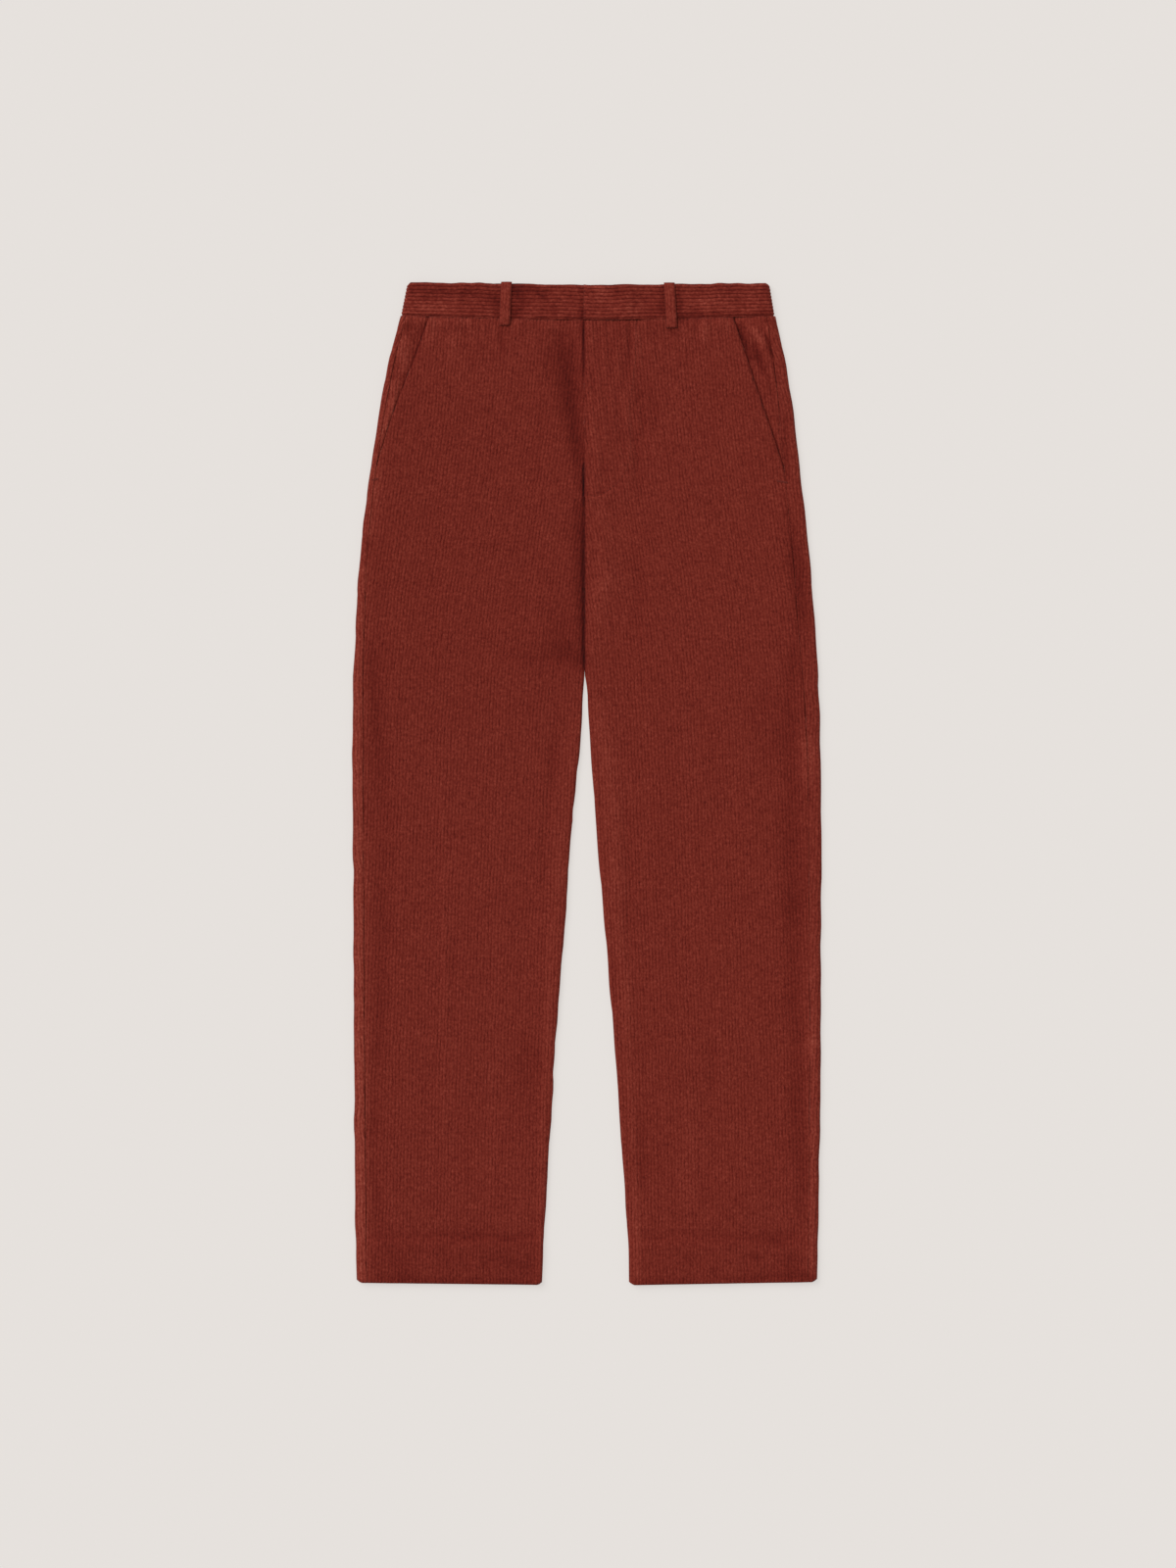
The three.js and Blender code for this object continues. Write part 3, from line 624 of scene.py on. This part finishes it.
def front_place(name, side):
    edges = EDGES[name]

    def place(chart, down):
        curl = smooth(down, *CROTCH_CURL)
        start = along(edges["inner"], down) - SEAM_CLEAR * (1 - curl)
        end = along(edges["front"], down)
        if name == "right":
            start = mix(-FLY["underlap"], start, smooth(down, FLY["end"] - 6, FLY["end"] + 4))
        height = np.interp(down, LOFT["down"], LOFT["fold"]) / 2
        quarter = mix(INSEAM_RADIUS, arc(INSEAM_RADIUS, height), curl)
        shift = drift(down) - start - INSEAM_RADIUS + quarter
        run = end - start - INSEAM_RADIUS
        s, chart = lay_ribs(chart, down, shift, 0, quarter + run)
        theta = np.clip(s / quarter, 0, 1) * math.pi / 2
        across = start + mix(np.minimum(s, quarter), INSEAM_RADIUS * (1 - np.cos(theta)), curl)
        across = across + np.clip(s - quarter, 0, None)
        x = side * across
        lift, tone = drape(x, down)
        z = front_height(name, across, down) + lift
        z = z - curl * (z - height - 0.3) * (1 - np.sin(theta))
        from_edge = quarter + run - s
        opens = {"left": 1.0, "right": mix(1.0, 0.12, smooth(down, 100, 145))}[name]
        shown = np.where(down < edges["pocket_end"], opens, seam_shown(name, down))
        turned_under = shown * np.exp(-((from_edge / 1.1) ** 2))
        if name == "left":
            at_fly = (1 - curl) * fly_open(down) * np.exp(-((s / 1.3) ** 2))
            turned_under = turned_under + 1.5 * at_fly
        z = z - SEAM_SINK * turned_under
        groove = RIB_DEPTH * rib(chart / RIB_PITCH)
        inward = curl * np.cos(theta)
        z = z - groove * (1 - inward)
        across = across + groove * inward
        # Painted shade along the turned-under edges: the pocket mouths, the fly and the side seams.
        tone = tone - 0.22 * turned_under
        if name == "right":
            under_fly = fly_open(down) * (1 - smooth(down, 232, FLY["settled"]))
            from_shadow = (across - FLY_SHADOW["across"]) / FLY_SHADOW["reach"]
            tone = tone - FLY_SHADOW["dark"] * under_fly * np.exp(-(from_shadow ** 2))
        return side * across, settle_ends(down, across, side, edges), z, chart, tone

    return place


ALL_THE_WAY = np.linspace(PANEL_TOP, PANEL_FOOT, 60)

for name, side in SIDES.items():
    inner, outer = (along(EDGES[name][key], ALL_THE_WAY) for key in ("inner", "front"))
    front = lay_cloth(
        f"front_{name}_cloth", rib_columns(ALL_THE_WAY, inner, outer, spare=(14, 4)),
        panel_rows(True), front_place(name, side),
        turned=side > 0, hem=HEM_LAYERS, bolt=1.3 if side < 0 else 0.0,
    )
    front.data.materials.append(CORDUROY)
    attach(front, "root")
    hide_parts(f"front_{name}")


# --- Back panels ---
# Two panels of mid-weight cotton corduroy, seven ribs to the inch, joined at the centre back.
# They lie on the surface, turn round the side folds and run on to the front as far as the side
# seams, where the seam allowances under them make a raised strip.

FOLD_HEIGHT = 6.4
HEM_FOLD_HEIGHT = 0.6  # the doubled hem folds this much higher
FOLD_RADIUS = 5.0
CENTRE_BACK = -2.6
BACK_LOOPS = {"left": 110.0, "centre": CENTRE_BACK, "right": -110.0}
LOOP_CLOTH = 1.8


def over_loops(x, down):
    """The cloth of the back is lifted only where it lies on a belt loop."""
    nearest = np.min([np.abs(x - at) for at in BACK_LOOPS.values()], axis=0)
    return (LOOP_CLOTH + SEAM_GAP) * (1 - smooth(nearest, 8, 30)) * (1 - smooth(down, 50, 84))


def back_place(name, side):
    edges = EDGES[name]

    def place(chart, down):
        start, edge, seam = (along(edges[key], down) for key in ("inner", "side", "seam"))
        curl = smooth(down, *CROTCH_CURL)
        start = start - SEAM_CLEAR * (1 - curl)
        height = FOLD_HEIGHT + HEM_FOLD_HEIGHT * smooth(down, HEM_TOP - 6, HEM_TOP + 2)
        radius = np.minimum(FOLD_RADIUS, edge - seam - 0.4)
        quarter = mix(INSEAM_RADIUS, arc(INSEAM_RADIUS, height / 2), curl)
        lying = edge - radius - start - INSEAM_RADIUS
        turn = 2 * arc(radius, height / 2)
        strip = edge - radius - seam
        shift = drift(down) - start - INSEAM_RADIUS + quarter
        s, chart = lay_ribs(chart, down, shift, 0, quarter + lying + turn + strip)

        theta = np.clip(s / quarter, 0, 1) * math.pi / 2
        in_turn = np.clip((s - quarter - lying) / turn, 0, 1)
        phi = (in_turn - 0.5) * math.pi
        past = np.clip(s - quarter - lying - turn, 0, None)
        first = start + mix(np.minimum(s, quarter), INSEAM_RADIUS * (1 - np.cos(theta)), curl)
        flat = np.clip(s - quarter, 0, lying)
        across = first + flat + radius * np.where(in_turn > 0, np.cos(phi), 0) - past
        z = curl * height / 2 * (1 - np.sin(theta)) + height / 2 * (1 + np.sin(phi))
        inward = curl * np.cos(theta)
        normal_across = -inward + np.where(in_turn > 0, np.cos(phi), 0)
        normal_up = np.where(in_turn > 0, np.sin(phi), inward - 1)

        on_top = smooth(in_turn, 0.6, 1.0)
        to_seam = np.clip(quarter + lying + turn + strip - s, 0, None)
        x = side * across
        lift, painted_shading = drape(x, down)
        at_seam = seam_shown(name, down) * np.exp(-((to_seam / 1.6) ** 2))
        z = z + on_top * (lift - SEAM_SINK * at_seam)
        z = z + over_loops(x, down) * (1 - in_turn)
        groove = RIB_DEPTH * rib(chart / RIB_PITCH)
        across = across - normal_across * groove
        z = z - normal_up * groove
        # The top strip takes the front's painted light and shade, is a little lighter all over and
        # has painted shade at the seam; the turn of the side fold gets a painted highlight.
        tone = on_top * (painted_shading + 0.03 - 0.20 * at_seam) + 0.05 * np.sin(math.pi * in_turn)
        return side * across, settle_ends(down, across, side, edges), z, chart, tone

    return place


for name, side in SIDES.items():
    inner, edge, seam = (along(EDGES[name][key], ALL_THE_WAY) for key in ("inner", "side", "seam"))
    back = lay_cloth(
        f"back_{name}_cloth", rib_columns(ALL_THE_WAY, inner, 2 * edge - seam, spare=(2, 6)),
        panel_rows(False), back_place(name, side),
        turned=side < 0, hem=HEM_LAYERS, bolt=3.9 if side < 0 else 2.6,
    )
    back.data.materials.append(CORDUROY)
    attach(back, "root")
    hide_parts(f"back_{name}")


# --- Pocket facings ---
# A piece of the corduroy faces each slanted pocket, under the mouth and out to the side seam. It
# is not held along the mouth, so it wrinkles between the two.

FACING_UNDER = 12
FACING_CLOTH = 1.1
FACING_GAIN = {"lift": 1.3, "tone": 1.35}
# Inside each mouth: how dark the facing is along it, how far that reaches, between which distances
# down it fades, and what share of it stays.
MOUTH_SHADE = {
    "left": {"dark": 0.40, "reach": 1.6, "fades": (60, 110), "stays": 0.62},
    "right": {"dark": 0.62, "reach": 1.9, "fades": (108, 132), "stays": 0.0},
}
FACING_FOLDS = [
    ("path", "height", "width", "shade"),
    ([(169, 48), (177, 54), (185, 66)], [0.5, 1.0, 0.6], [2.5, 3, 3], [0.1, 0.22, 0.16]),
    ([(160, 50), (166, 64), (171, 80)], [-0.5, -0.5, -0.4], [4, 3.5, 3], [-0.16, -0.18, -0.12]),
    ([(176, 68), (180, 80), (186, 96)], [-0.8, -0.9, -0.5], [4, 4.5, 3], [-0.14, -0.18, -0.1]),
    ([(189, 50), (196, 62), (201, 78)], [0.5, 0.9, 0.4], 2.5, [0.1, 0.2, 0.12]),
    ([(188, 58), (192, 68), (195, 80)], [-0.7, -0.8, -0.4], [2, 2.5, 2], [-0.14, -0.2, -0.12]),
    ([(196, 88), (203, 130), (208, 176)], [-0.3, -0.3, -0.2], [1.8, 1.8, 1.6],
     [-0.16, -0.16, -0.14]),
    ([(203, 66), (207, 90)], [0.5, 0.4], 3, [0.1, 0.07]),
    ([(194, 92), (200, 118), (203, 132)], [0.6, 0.6, 0.4], [2.5, 3, 3], [0.06, 0.09, 0.08]),
    ([(190, 100), (196, 124)], -0.5, 2.5, -0.07),
    ([(210, 118), (214, 142)], -0.4, 3.5, -0.12),
    ([(172, 40), (200, 42)], -0.3, 2, -0.04),
    ([(-196, 66), (-191, 90)], [0.6, 0.5], [8, 7], [0.18, 0.13]),
    ([(-196, 41), (-168, 41)], 0.2, 3, [0.12, 0.1]),
    ([(-187, 48), (-188, 53)], -0.4, 4, -0.06),
    ([(-201, 108), (-210, 150)], 0.3, [8, 7], 0.12),
    ([(-212, 155), (-219, 192)], 0.2, 6, [0.1, 0.12]),
]


def facing_place(name, side):
    edges, shade = EDGES[name], MOUTH_SHADE[name]

    def place(chart, down):
        mouth = along(edges["mouth"], down)
        seam = along(edges["seam"], down) - SEAM_GAP
        shown = np.minimum(mouth, seam - 1)
        across, chart = lay_ribs(chart, down, drift(down), shown - FACING_UNDER, seam)
        x = side * across
        covered = np.minimum(across, shown)
        lift, _ = drape(side * covered, down)
        under = front_height(name, covered, down) + lift - CLOTH - 0.6 - RIB_DEPTH
        fold = np.interp(down, LOFT["down"], LOFT["fold"])
        fades = smooth(down, *shade["fades"])
        lies_flush = fades * (1 - shade["stays"])
        reach = mix(np.maximum(seam - 0.5, mouth + 2.5), mouth + 1.2, lies_flush)
        beyond = smooth(across, mouth + 0.1, reach)
        z = mix(under, fold + 0.8 * lift, beyond)
        loose = smooth(across, mouth, mouth + 6)
        lift, tone = lie(x, down, FACING_FOLDS)
        z = z + loose * (FACING_GAIN["lift"] * lift + 0.3 * ripple(x, down, 16, 31))
        at_waist = 1 - smooth(down, 38, 62)
        z = z + 1.1 * at_waist * loose
        at_seam = seam_shown(name, down) * np.exp(-(((seam - across) / 1.5) ** 2))
        z = z - SEAM_SINK * at_seam - RIB_DEPTH * rib(chart / RIB_PITCH)
        dark = shade["dark"] * mix(1, shade["stays"], fades)
        inside = np.clip(across - mouth, 0, None)
        tone = FACING_GAIN["tone"] * tone - dark * np.exp(-((inside / shade["reach"]) ** 2))
        return x, settle_ends(down, across, side, edges), z, chart, tone

    return place


for name, side in SIDES.items():
    rows = np.linspace(PANEL_TOP, EDGES[name]["pocket_end"], 40)
    mouth, seam = (along(EDGES[name][key], rows) for key in ("mouth", "seam"))
    facing = lay_cloth(
        f"pocket_facing_{name}_cloth", rib_columns(rows, mouth, seam, spare=(FACING_UNDER + 3, 3)),
        rows, facing_place(name, side),
        turned=side > 0, wall=FACING_CLOTH, bolt=5.2 if side < 0 else 5.5,
    )
    facing.data.materials.append(CORDUROY)
    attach(facing, "root")
    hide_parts(f"pocket_facing_{name}")


# --- Waistband ---
# Two strips of corduroy with the ribs running round the waist, doubled over a stiff lining. The
# left end laps over the right one at the centre front, and both meet at the centre back.

BAND_HEIGHT = 7.2
BAND_CLOTH = 2.0
BAND_DEPTH = 35.0
BAND_RIB = 3.75
BAND_GROOVE = 0.66
BAND_LAP = {"edge": -3.6, "under": 30, "width": 34, "slope": 28, "lift": 2.7}
BAND_RADIUS = 3.8
BAND_END = {"left": {"top": 192, "foot": 197.5}, "right": {"top": 189, "foot": 195.5}}
BAND_TOP = {"x": [-190, -95, 0, 190], "down": [1.1, 2.2, 4.0, 1.9]}
BAND_CORNER = {"drop": 1.8, "over": 4}
BAND_RUN = 410  # the rows of a half are counted along this, whatever its exact length
BAND_TOP_SHADE = {"left": 0.01, "right": 0.04}
BAND_FOLDS = [
    ("path", "height", "width", "shade"),
    ([(-186, 8), (-150, 11), (-126, 12), (-102, 16)], [-0.3, -0.3, -0.4, -0.4], [4, 4, 5, 5],
     [-0.09, -0.1, -0.1, -0.1]),
    ([(-95, 12), (-95, 34)], -0.4, 5, -0.14),
    ([(-74, 4), (-70, 20), (-75, 36)], -0.5, [8, 8, 6], [-0.18, -0.16, -0.14]),
    ([(-60, 8), (-46, 17)], [-0.4, -0.3], 6, [-0.14, -0.12]),
    ([(-36, 29), (-34, 33)], -0.2, 4, -0.1),
    ([(-176, 27), (-150, 30)], [0.4, 0.3], 6, [0.09, 0.08]),
    ([(-5.2, 12), (-5.2, 22), (-5.2, 39)], 0, [1.6, 1.6, 1.8], [0, -0.12, -0.22]),
    ([(12, 7), (16, 10)], 0.3, 6, 0.12),
    ([(30, 26), (48, 28)], 0.2, 9, 0.05),
    ([(38, 29), (40, 31)], 0.5, 4.5, 0.03),
    ([(56, 14), (68, 30)], -0.2, 6, -0.06),
    ([(119, 21), (122, 23)], 0.3, 5, 0.11),
    ([(147, 26), (150, 28)], 0.2, 5, 0.08),
    ([(80, 8), (79, 34)], [-0.2, -0.3], 3, [-0.12, -0.2]),
    ([(96, 8), (97, 34)], [-0.2, -0.3], 3, [-0.14, -0.18]),
    ([(118, 8), (186, 10)], -0.2, 5, -0.02),
    ([(98, 36), (188, 34)], -0.2, 2.2, -0.1),
]


def band_place(name, side):
    start = BAND_LAP["edge"] if name == "left" else -BAND_LAP["under"]
    finish = side * CENTRE_BACK + SEAM_GAP / 2

    def place(depth, run):
        depth = np.clip(depth, 0, BAND_DEPTH)
        part = depth / BAND_DEPTH
        edge = mix(BAND_END[name]["top"], BAND_END[name]["foot"], part)
        front = edge - BAND_RADIUS - start
        turn = 2 * arc(BAND_RADIUS, BAND_HEIGHT / 2)
        back = edge - BAND_RADIUS - finish
        s = run / BAND_RUN * (front + turn + back)
        in_turn = np.clip((s - front) / turn, 0, 1)
        phi = (0.5 - in_turn) * math.pi
        across = start + np.minimum(s, front) + BAND_RADIUS * np.cos(phi) * (in_turn > 0)
        across = across - np.clip(s - front - turn, 0, None)
        x = side * across
        top = np.interp(x, BAND_TOP["x"], BAND_TOP["down"]) + 0.35 * ripple(s, 0 * s, 24, 41)
        top = top + BAND_CORNER["drop"] * smooth(across, edge - BAND_CORNER["over"], edge)
        seam = np.interp(x, WAIST_SEAM["x"], WAIST_SEAM["down"]) - SEAM_GAP / 2
        down = mix(top, seam, part)
        z = BAND_HEIGHT / 2 * (1 + np.sin(phi))
        on_front = 1 - smooth(in_turn, 0, 0.5)
        if name == "left":
            lap = 1 - smooth(across, BAND_LAP["width"], BAND_LAP["width"] + BAND_LAP["slope"])
            z = z + on_front * (BAND_LAP["lift"] * lap - np.exp(-((s / 1.6) ** 2)))
        lift, tone = lie(x, down, BAND_FOLDS)
        z = z + on_front * (lift + 0.22 * ripple(x, down, 30, 42 + side))
        z = z + over_loops(x, 0 * down) * (in_turn >= 1)
        folded = np.exp(-((depth / 1.6) ** 2)) + np.exp(-(((BAND_DEPTH - depth) / 1.5) ** 2))
        uneven = 0.45 * ripple(s, 0 * s, 55, 43)
        groove = BAND_GROOVE * rib((depth + uneven) / BAND_RIB) + SEAM_SINK * folded
        z = z - groove * np.sin(phi)
        across = across - groove * np.cos(phi) * (in_turn > 0) * (in_turn < 1)
        # Painted light and shade of the band's folds, and painted shade at its top, along its top
        # fold and at its seam; the band is a little lighter towards its foot, with random
        # unevenness.
        tone = 1.4 * tone - BAND_TOP_SHADE[name] * (1 - smooth(depth, 5, 20))
        tone = tone + 0.05 + 0.02 * smooth(depth, 16, 29) + 0.06 * ripple(x, depth * 2, 26, 44)
        return side * across, down, z, depth + uneven, on_front * tone - 0.10 * folded

    return place


BAND_CORDUROY = corduroy(
    "corduroy_across", pitch=BAND_RIB, groove_shade=0.38, uneven=1.7, closes=0.75, strays=0.09,
)
for name, side in SIDES.items():
    band = lay_cloth(
        f"waistband_{name}_cloth", np.linspace(0, BAND_DEPTH, 61), np.linspace(0, BAND_RUN, 96),
        band_place(name, side), turned=side < 0, wall=BAND_CLOTH, bolt=6.5 if side < 0 else 6.0,
    )
    band.data.materials.append(BAND_CORDUROY)
    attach(band, "root")
    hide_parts(f"waistband_{name}")


# --- Belt loops ---
# Strips of corduroy folded to three layers, with two or three ribs along them, caught in at the
# top of the waistband and sewn down below it. Two lie on the front and three under the back.

LOOP_WIDTH = 11.4
LOOP_LENGTH = 48
LOOP_RIB = 3.6
LOOP_WALL = 1.5
BACK_LOOP_RUN = (3.4, 48)
FRONT_LOOPS = [
    {"name": "belt_loop_front_left", "top": 86.3, "bottom": 89.1, "from": 1.6, "to": 49.2},
    {"name": "belt_loop_front_right", "top": -84.5, "bottom": -86.5, "from": 0.8, "to": 46.6},
]


def front_loop_place(loop):
    name = "left" if loop["top"] > 0 else "right"

    def place(chart, length):
        down = mix(loop["from"], loop["to"], length / LOOP_LENGTH)
        x = mix(loop["top"], loop["bottom"], length / LOOP_LENGTH) + chart
        seam = float(np.interp(loop["top"], WAIST_SEAM["x"], WAIST_SEAM["down"]))
        on_panel = float(front_height(name, abs(loop["top"]), seam + 3))
        rest = mix(BAND_HEIGHT, on_panel + 0.4, smooth(down, seam - 1, seam + 5)) + 0.35
        edge = np.abs(chart) / (LOOP_WIDTH / 2)
        z = rest + LOOP_CLOTH + 0.5 * (1 - edge ** 2) - 0.7 * edge ** 6
        z = z + 0.3 * np.exp(-(((down - seam + 4) / 8) ** 2))
        ends = sum(np.exp(-(((down - loop[end]) / 1.2) ** 2)) for end in ("from", "to"))
        z = z - 1.1 * ends - 0.35 * rib(chart / LOOP_RIB + 0.5)
        # Painted light over the loop, with painted shade at its sewn ends and along its edges.
        return x, down, z, chart, 0.16 - 0.25 * ends - 0.32 * smooth(edge, 0.62, 1)

    return place


def back_loop_place(middle):
    def place(chart, length):
        down = mix(*BACK_LOOP_RUN, length / LOOP_LENGTH)
        edge = np.abs(chart) / (LOOP_WIDTH / 2)
        z = 0.35 * rib(chart / LOOP_RIB + 0.5) + 0.5 * edge ** 6
        return middle + chart, down, z, chart, 0 * chart

    return place


def belt_loop(name, place, turned):
    columns = np.linspace(-LOOP_WIDTH / 2, LOOP_WIDTH / 2, 25)
    rows = np.linspace(0, LOOP_LENGTH, 41)
    loop = lay_cloth(
        f"{name}_cloth", columns, rows, place, turned=turned, wall=LOOP_WALL, bolt=7.0,
    )
    loop.data.materials.append(CORDUROY)
    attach(loop, "root")
    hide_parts(name)


for loop in FRONT_LOOPS:
    belt_loop(loop["name"], front_loop_place(loop), turned=True)
for place, middle in BACK_LOOPS.items():
    belt_loop(f"belt_loop_back_{place}", back_loop_place(middle), turned=False)


# --- Sewing thread ---
# Cotton thread dyed to the cloth: the fly's row of stitches, which turns in to the centre seam at
# its foot, and a close bar of them across the foot of each pocket mouth.

THREAD = 0.55
FLY_EDGE = -3
STITCH = {"length": 2.7, "gap": 0.9, "sunk": 0.02}
TACK_STITCH = {"length": 2.4, "apart": 0.55, "slant": math.pi / 2 + 0.35, "sunk": -0.05}
FLY_STITCHING = {
    "x": [51, 51, 48, 44, 46, 45, 40, 33, 23.4, 15.3, 8.5, -2],
    "down": [44, 80, 104, 138, 165, 188, 201, 210, 218.6, 223.6, 225.3, 223.8],
}
POCKET_TACKS = [
    {"name": "left", "x": 205.0, "down": 210.5, "length": 11.5, "tilt": 8},
    {"name": "right", "x": -222.5, "down": 208.0, "length": 7.0, "tilt": -12},
]


def front_crest(x, down):
    """Height of the front's crest at a point, for what is sewn on it."""
    name = "left" if x > FLY_EDGE else "right"
    x, down = np.array([x]), np.array([float(down)])
    lift, _ = drape(x, down)
    return float((front_height(name, SIDES[name] * x, down) + lift)[0])


def add_stitch(bm, x, down, turn, kind):
    """One stitch: a thread that comes up out of the cloth and goes down into it again."""
    made = bmesh.ops.create_icosphere(bm, subdivisions=2, radius=1)["verts"]
    z = front_crest(x, down) - kind["sunk"]
    size = Matrix.Diagonal((kind["length"] / 2 * MM, THREAD / 2 * MM, THREAD / 2 * MM, 1))
    place = Matrix.Translation((x * MM, CAD_HIGH[1] - down * MM, z * MM))
    matrix = place @ Matrix.Rotation(turn, 4, "Z") @ size
    bmesh.ops.transform(bm, matrix=matrix, verts=made)


thread_paint = bpy.data.materials.new("thread")
thread_paint.use_nodes = True
thread_nodes, thread_links = thread_paint.node_tree.nodes, thread_paint.node_tree.links
thread_shader = thread_nodes["Principled BSDF"]
thread_place = thread_nodes.new("ShaderNodeTexCoord")
thread_twist = thread_nodes.new("ShaderNodeTexNoise")
thread_twist.inputs["Scale"].default_value = 1500
thread_dye = thread_nodes.new("ShaderNodeValToRGB")
thread_dye.color_ramp.elements[0].color = (0.10, 0.014, 0.009, 1)
thread_dye.color_ramp.elements[1].color = (0.20, 0.036, 0.026, 1)
thread_links.new(thread_place.outputs["Object"], thread_twist.inputs["Vector"])
thread_links.new(thread_twist.outputs["Fac"], thread_dye.inputs["Fac"])
thread_links.new(thread_dye.outputs["Color"], thread_shader.inputs["Base Color"])
thread_shader.inputs["Roughness"].default_value = 0.9
thread_shader.inputs["Specular IOR Level"].default_value = 0.1


def sewn(name, bm):
    mesh = bpy.data.meshes.new(name)
    bm.to_mesh(mesh)
    bm.free()
    mesh.polygons.foreach_set("use_smooth", [True] * len(mesh.polygons))
    piece = bpy.data.objects.new(name, mesh)
    bpy.context.scene.collection.objects.link(piece)
    piece.data.materials.append(thread_paint)
    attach(piece, "root")


row = [FLY_STITCHING["x"], FLY_STITCHING["down"]]
travelled = np.concatenate([[0], np.cumsum(np.hypot(*np.diff(row)))])
bm = bmesh.new()
for at in np.arange(STITCH["length"] / 2, travelled[-1], STITCH["length"] + STITCH["gap"]):
    (x, x2), (down, down2) = (np.interp([at, at + 0.5], travelled, line) for line in row)
    add_stitch(bm, x, down, math.atan2(down - down2, x2 - x), STITCH)
sewn("fly_stitching", bm)

for tack in POCKET_TACKS:
    bm = bmesh.new()
    tilt = math.radians(tack["tilt"])
    for at in np.arange(-tack["length"] / 2, tack["length"] / 2, TACK_STITCH["apart"]):
        x, down = tack["x"] + at * math.cos(tilt), tack["down"] + at * math.sin(tilt)
        add_stitch(bm, x, down, TACK_STITCH["slant"], TACK_STITCH)
    sewn(f"pocket_tack_{tack['name']}", bm)


# --- Floor, light and camera ---
# A pale seamless surface under the trousers, an even sky and a broad soft light from the upper
# left, and a long lens straight above.

FLOOR_SHADE = (0.20, 0.19, 0.183, 1)
FLOOR_GLOW = {"colour": (1.0, 0.953, 0.913, 1), "strength": 0.60}
SKY_STRENGTH = 0.50
KEY = {"strength": 2.05, "softness": 45, "turn": (-27, -38, 0)}
FRAME_HEIGHT = 1.648
FRAME_CENTRE = (0.001, -0.001)

bpy.ops.mesh.primitive_plane_add(size=60, location=(0, 0, 0))
floor = bpy.context.object
floor.name = "floor"
floor_paint = bpy.data.materials.new("floor")
floor_paint.use_nodes = True
floor_shader = floor_paint.node_tree.nodes["Principled BSDF"]
floor_shader.inputs["Base Color"].default_value = FLOOR_SHADE
floor_shader.inputs["Roughness"].default_value = 1.0
floor_shader.inputs["Specular IOR Level"].default_value = 0.0
floor_shader.inputs["Emission Color"].default_value = FLOOR_GLOW["colour"]
floor_shader.inputs["Emission Strength"].default_value = FLOOR_GLOW["strength"]
floor.data.materials.append(floor_paint)

world = bpy.data.worlds.new("studio")
world.use_nodes = True
world.node_tree.nodes["Background"].inputs["Color"].default_value = (1, 1, 1, 1)
world.node_tree.nodes["Background"].inputs["Strength"].default_value = SKY_STRENGTH
bpy.context.scene.world = world

key = bpy.data.lights.new("key", "SUN")
key.energy = KEY["strength"]
key.angle = math.radians(KEY["softness"])
key_lamp = bpy.data.objects.new("key", key)
key_lamp.rotation_euler = [math.radians(turn) for turn in KEY["turn"]]
bpy.context.scene.collection.objects.link(key_lamp)

camera_data = bpy.data.cameras.new("camera")
camera_data.lens = 100
camera_data.sensor_width = 36
camera = bpy.data.objects.new("camera", camera_data)
camera.location = (*FRAME_CENTRE, FRAME_HEIGHT * camera_data.lens / camera_data.sensor_width)
bpy.context.scene.collection.objects.link(camera)
bpy.context.scene.camera = camera
bpy.context.scene.view_settings.view_transform = "Standard"
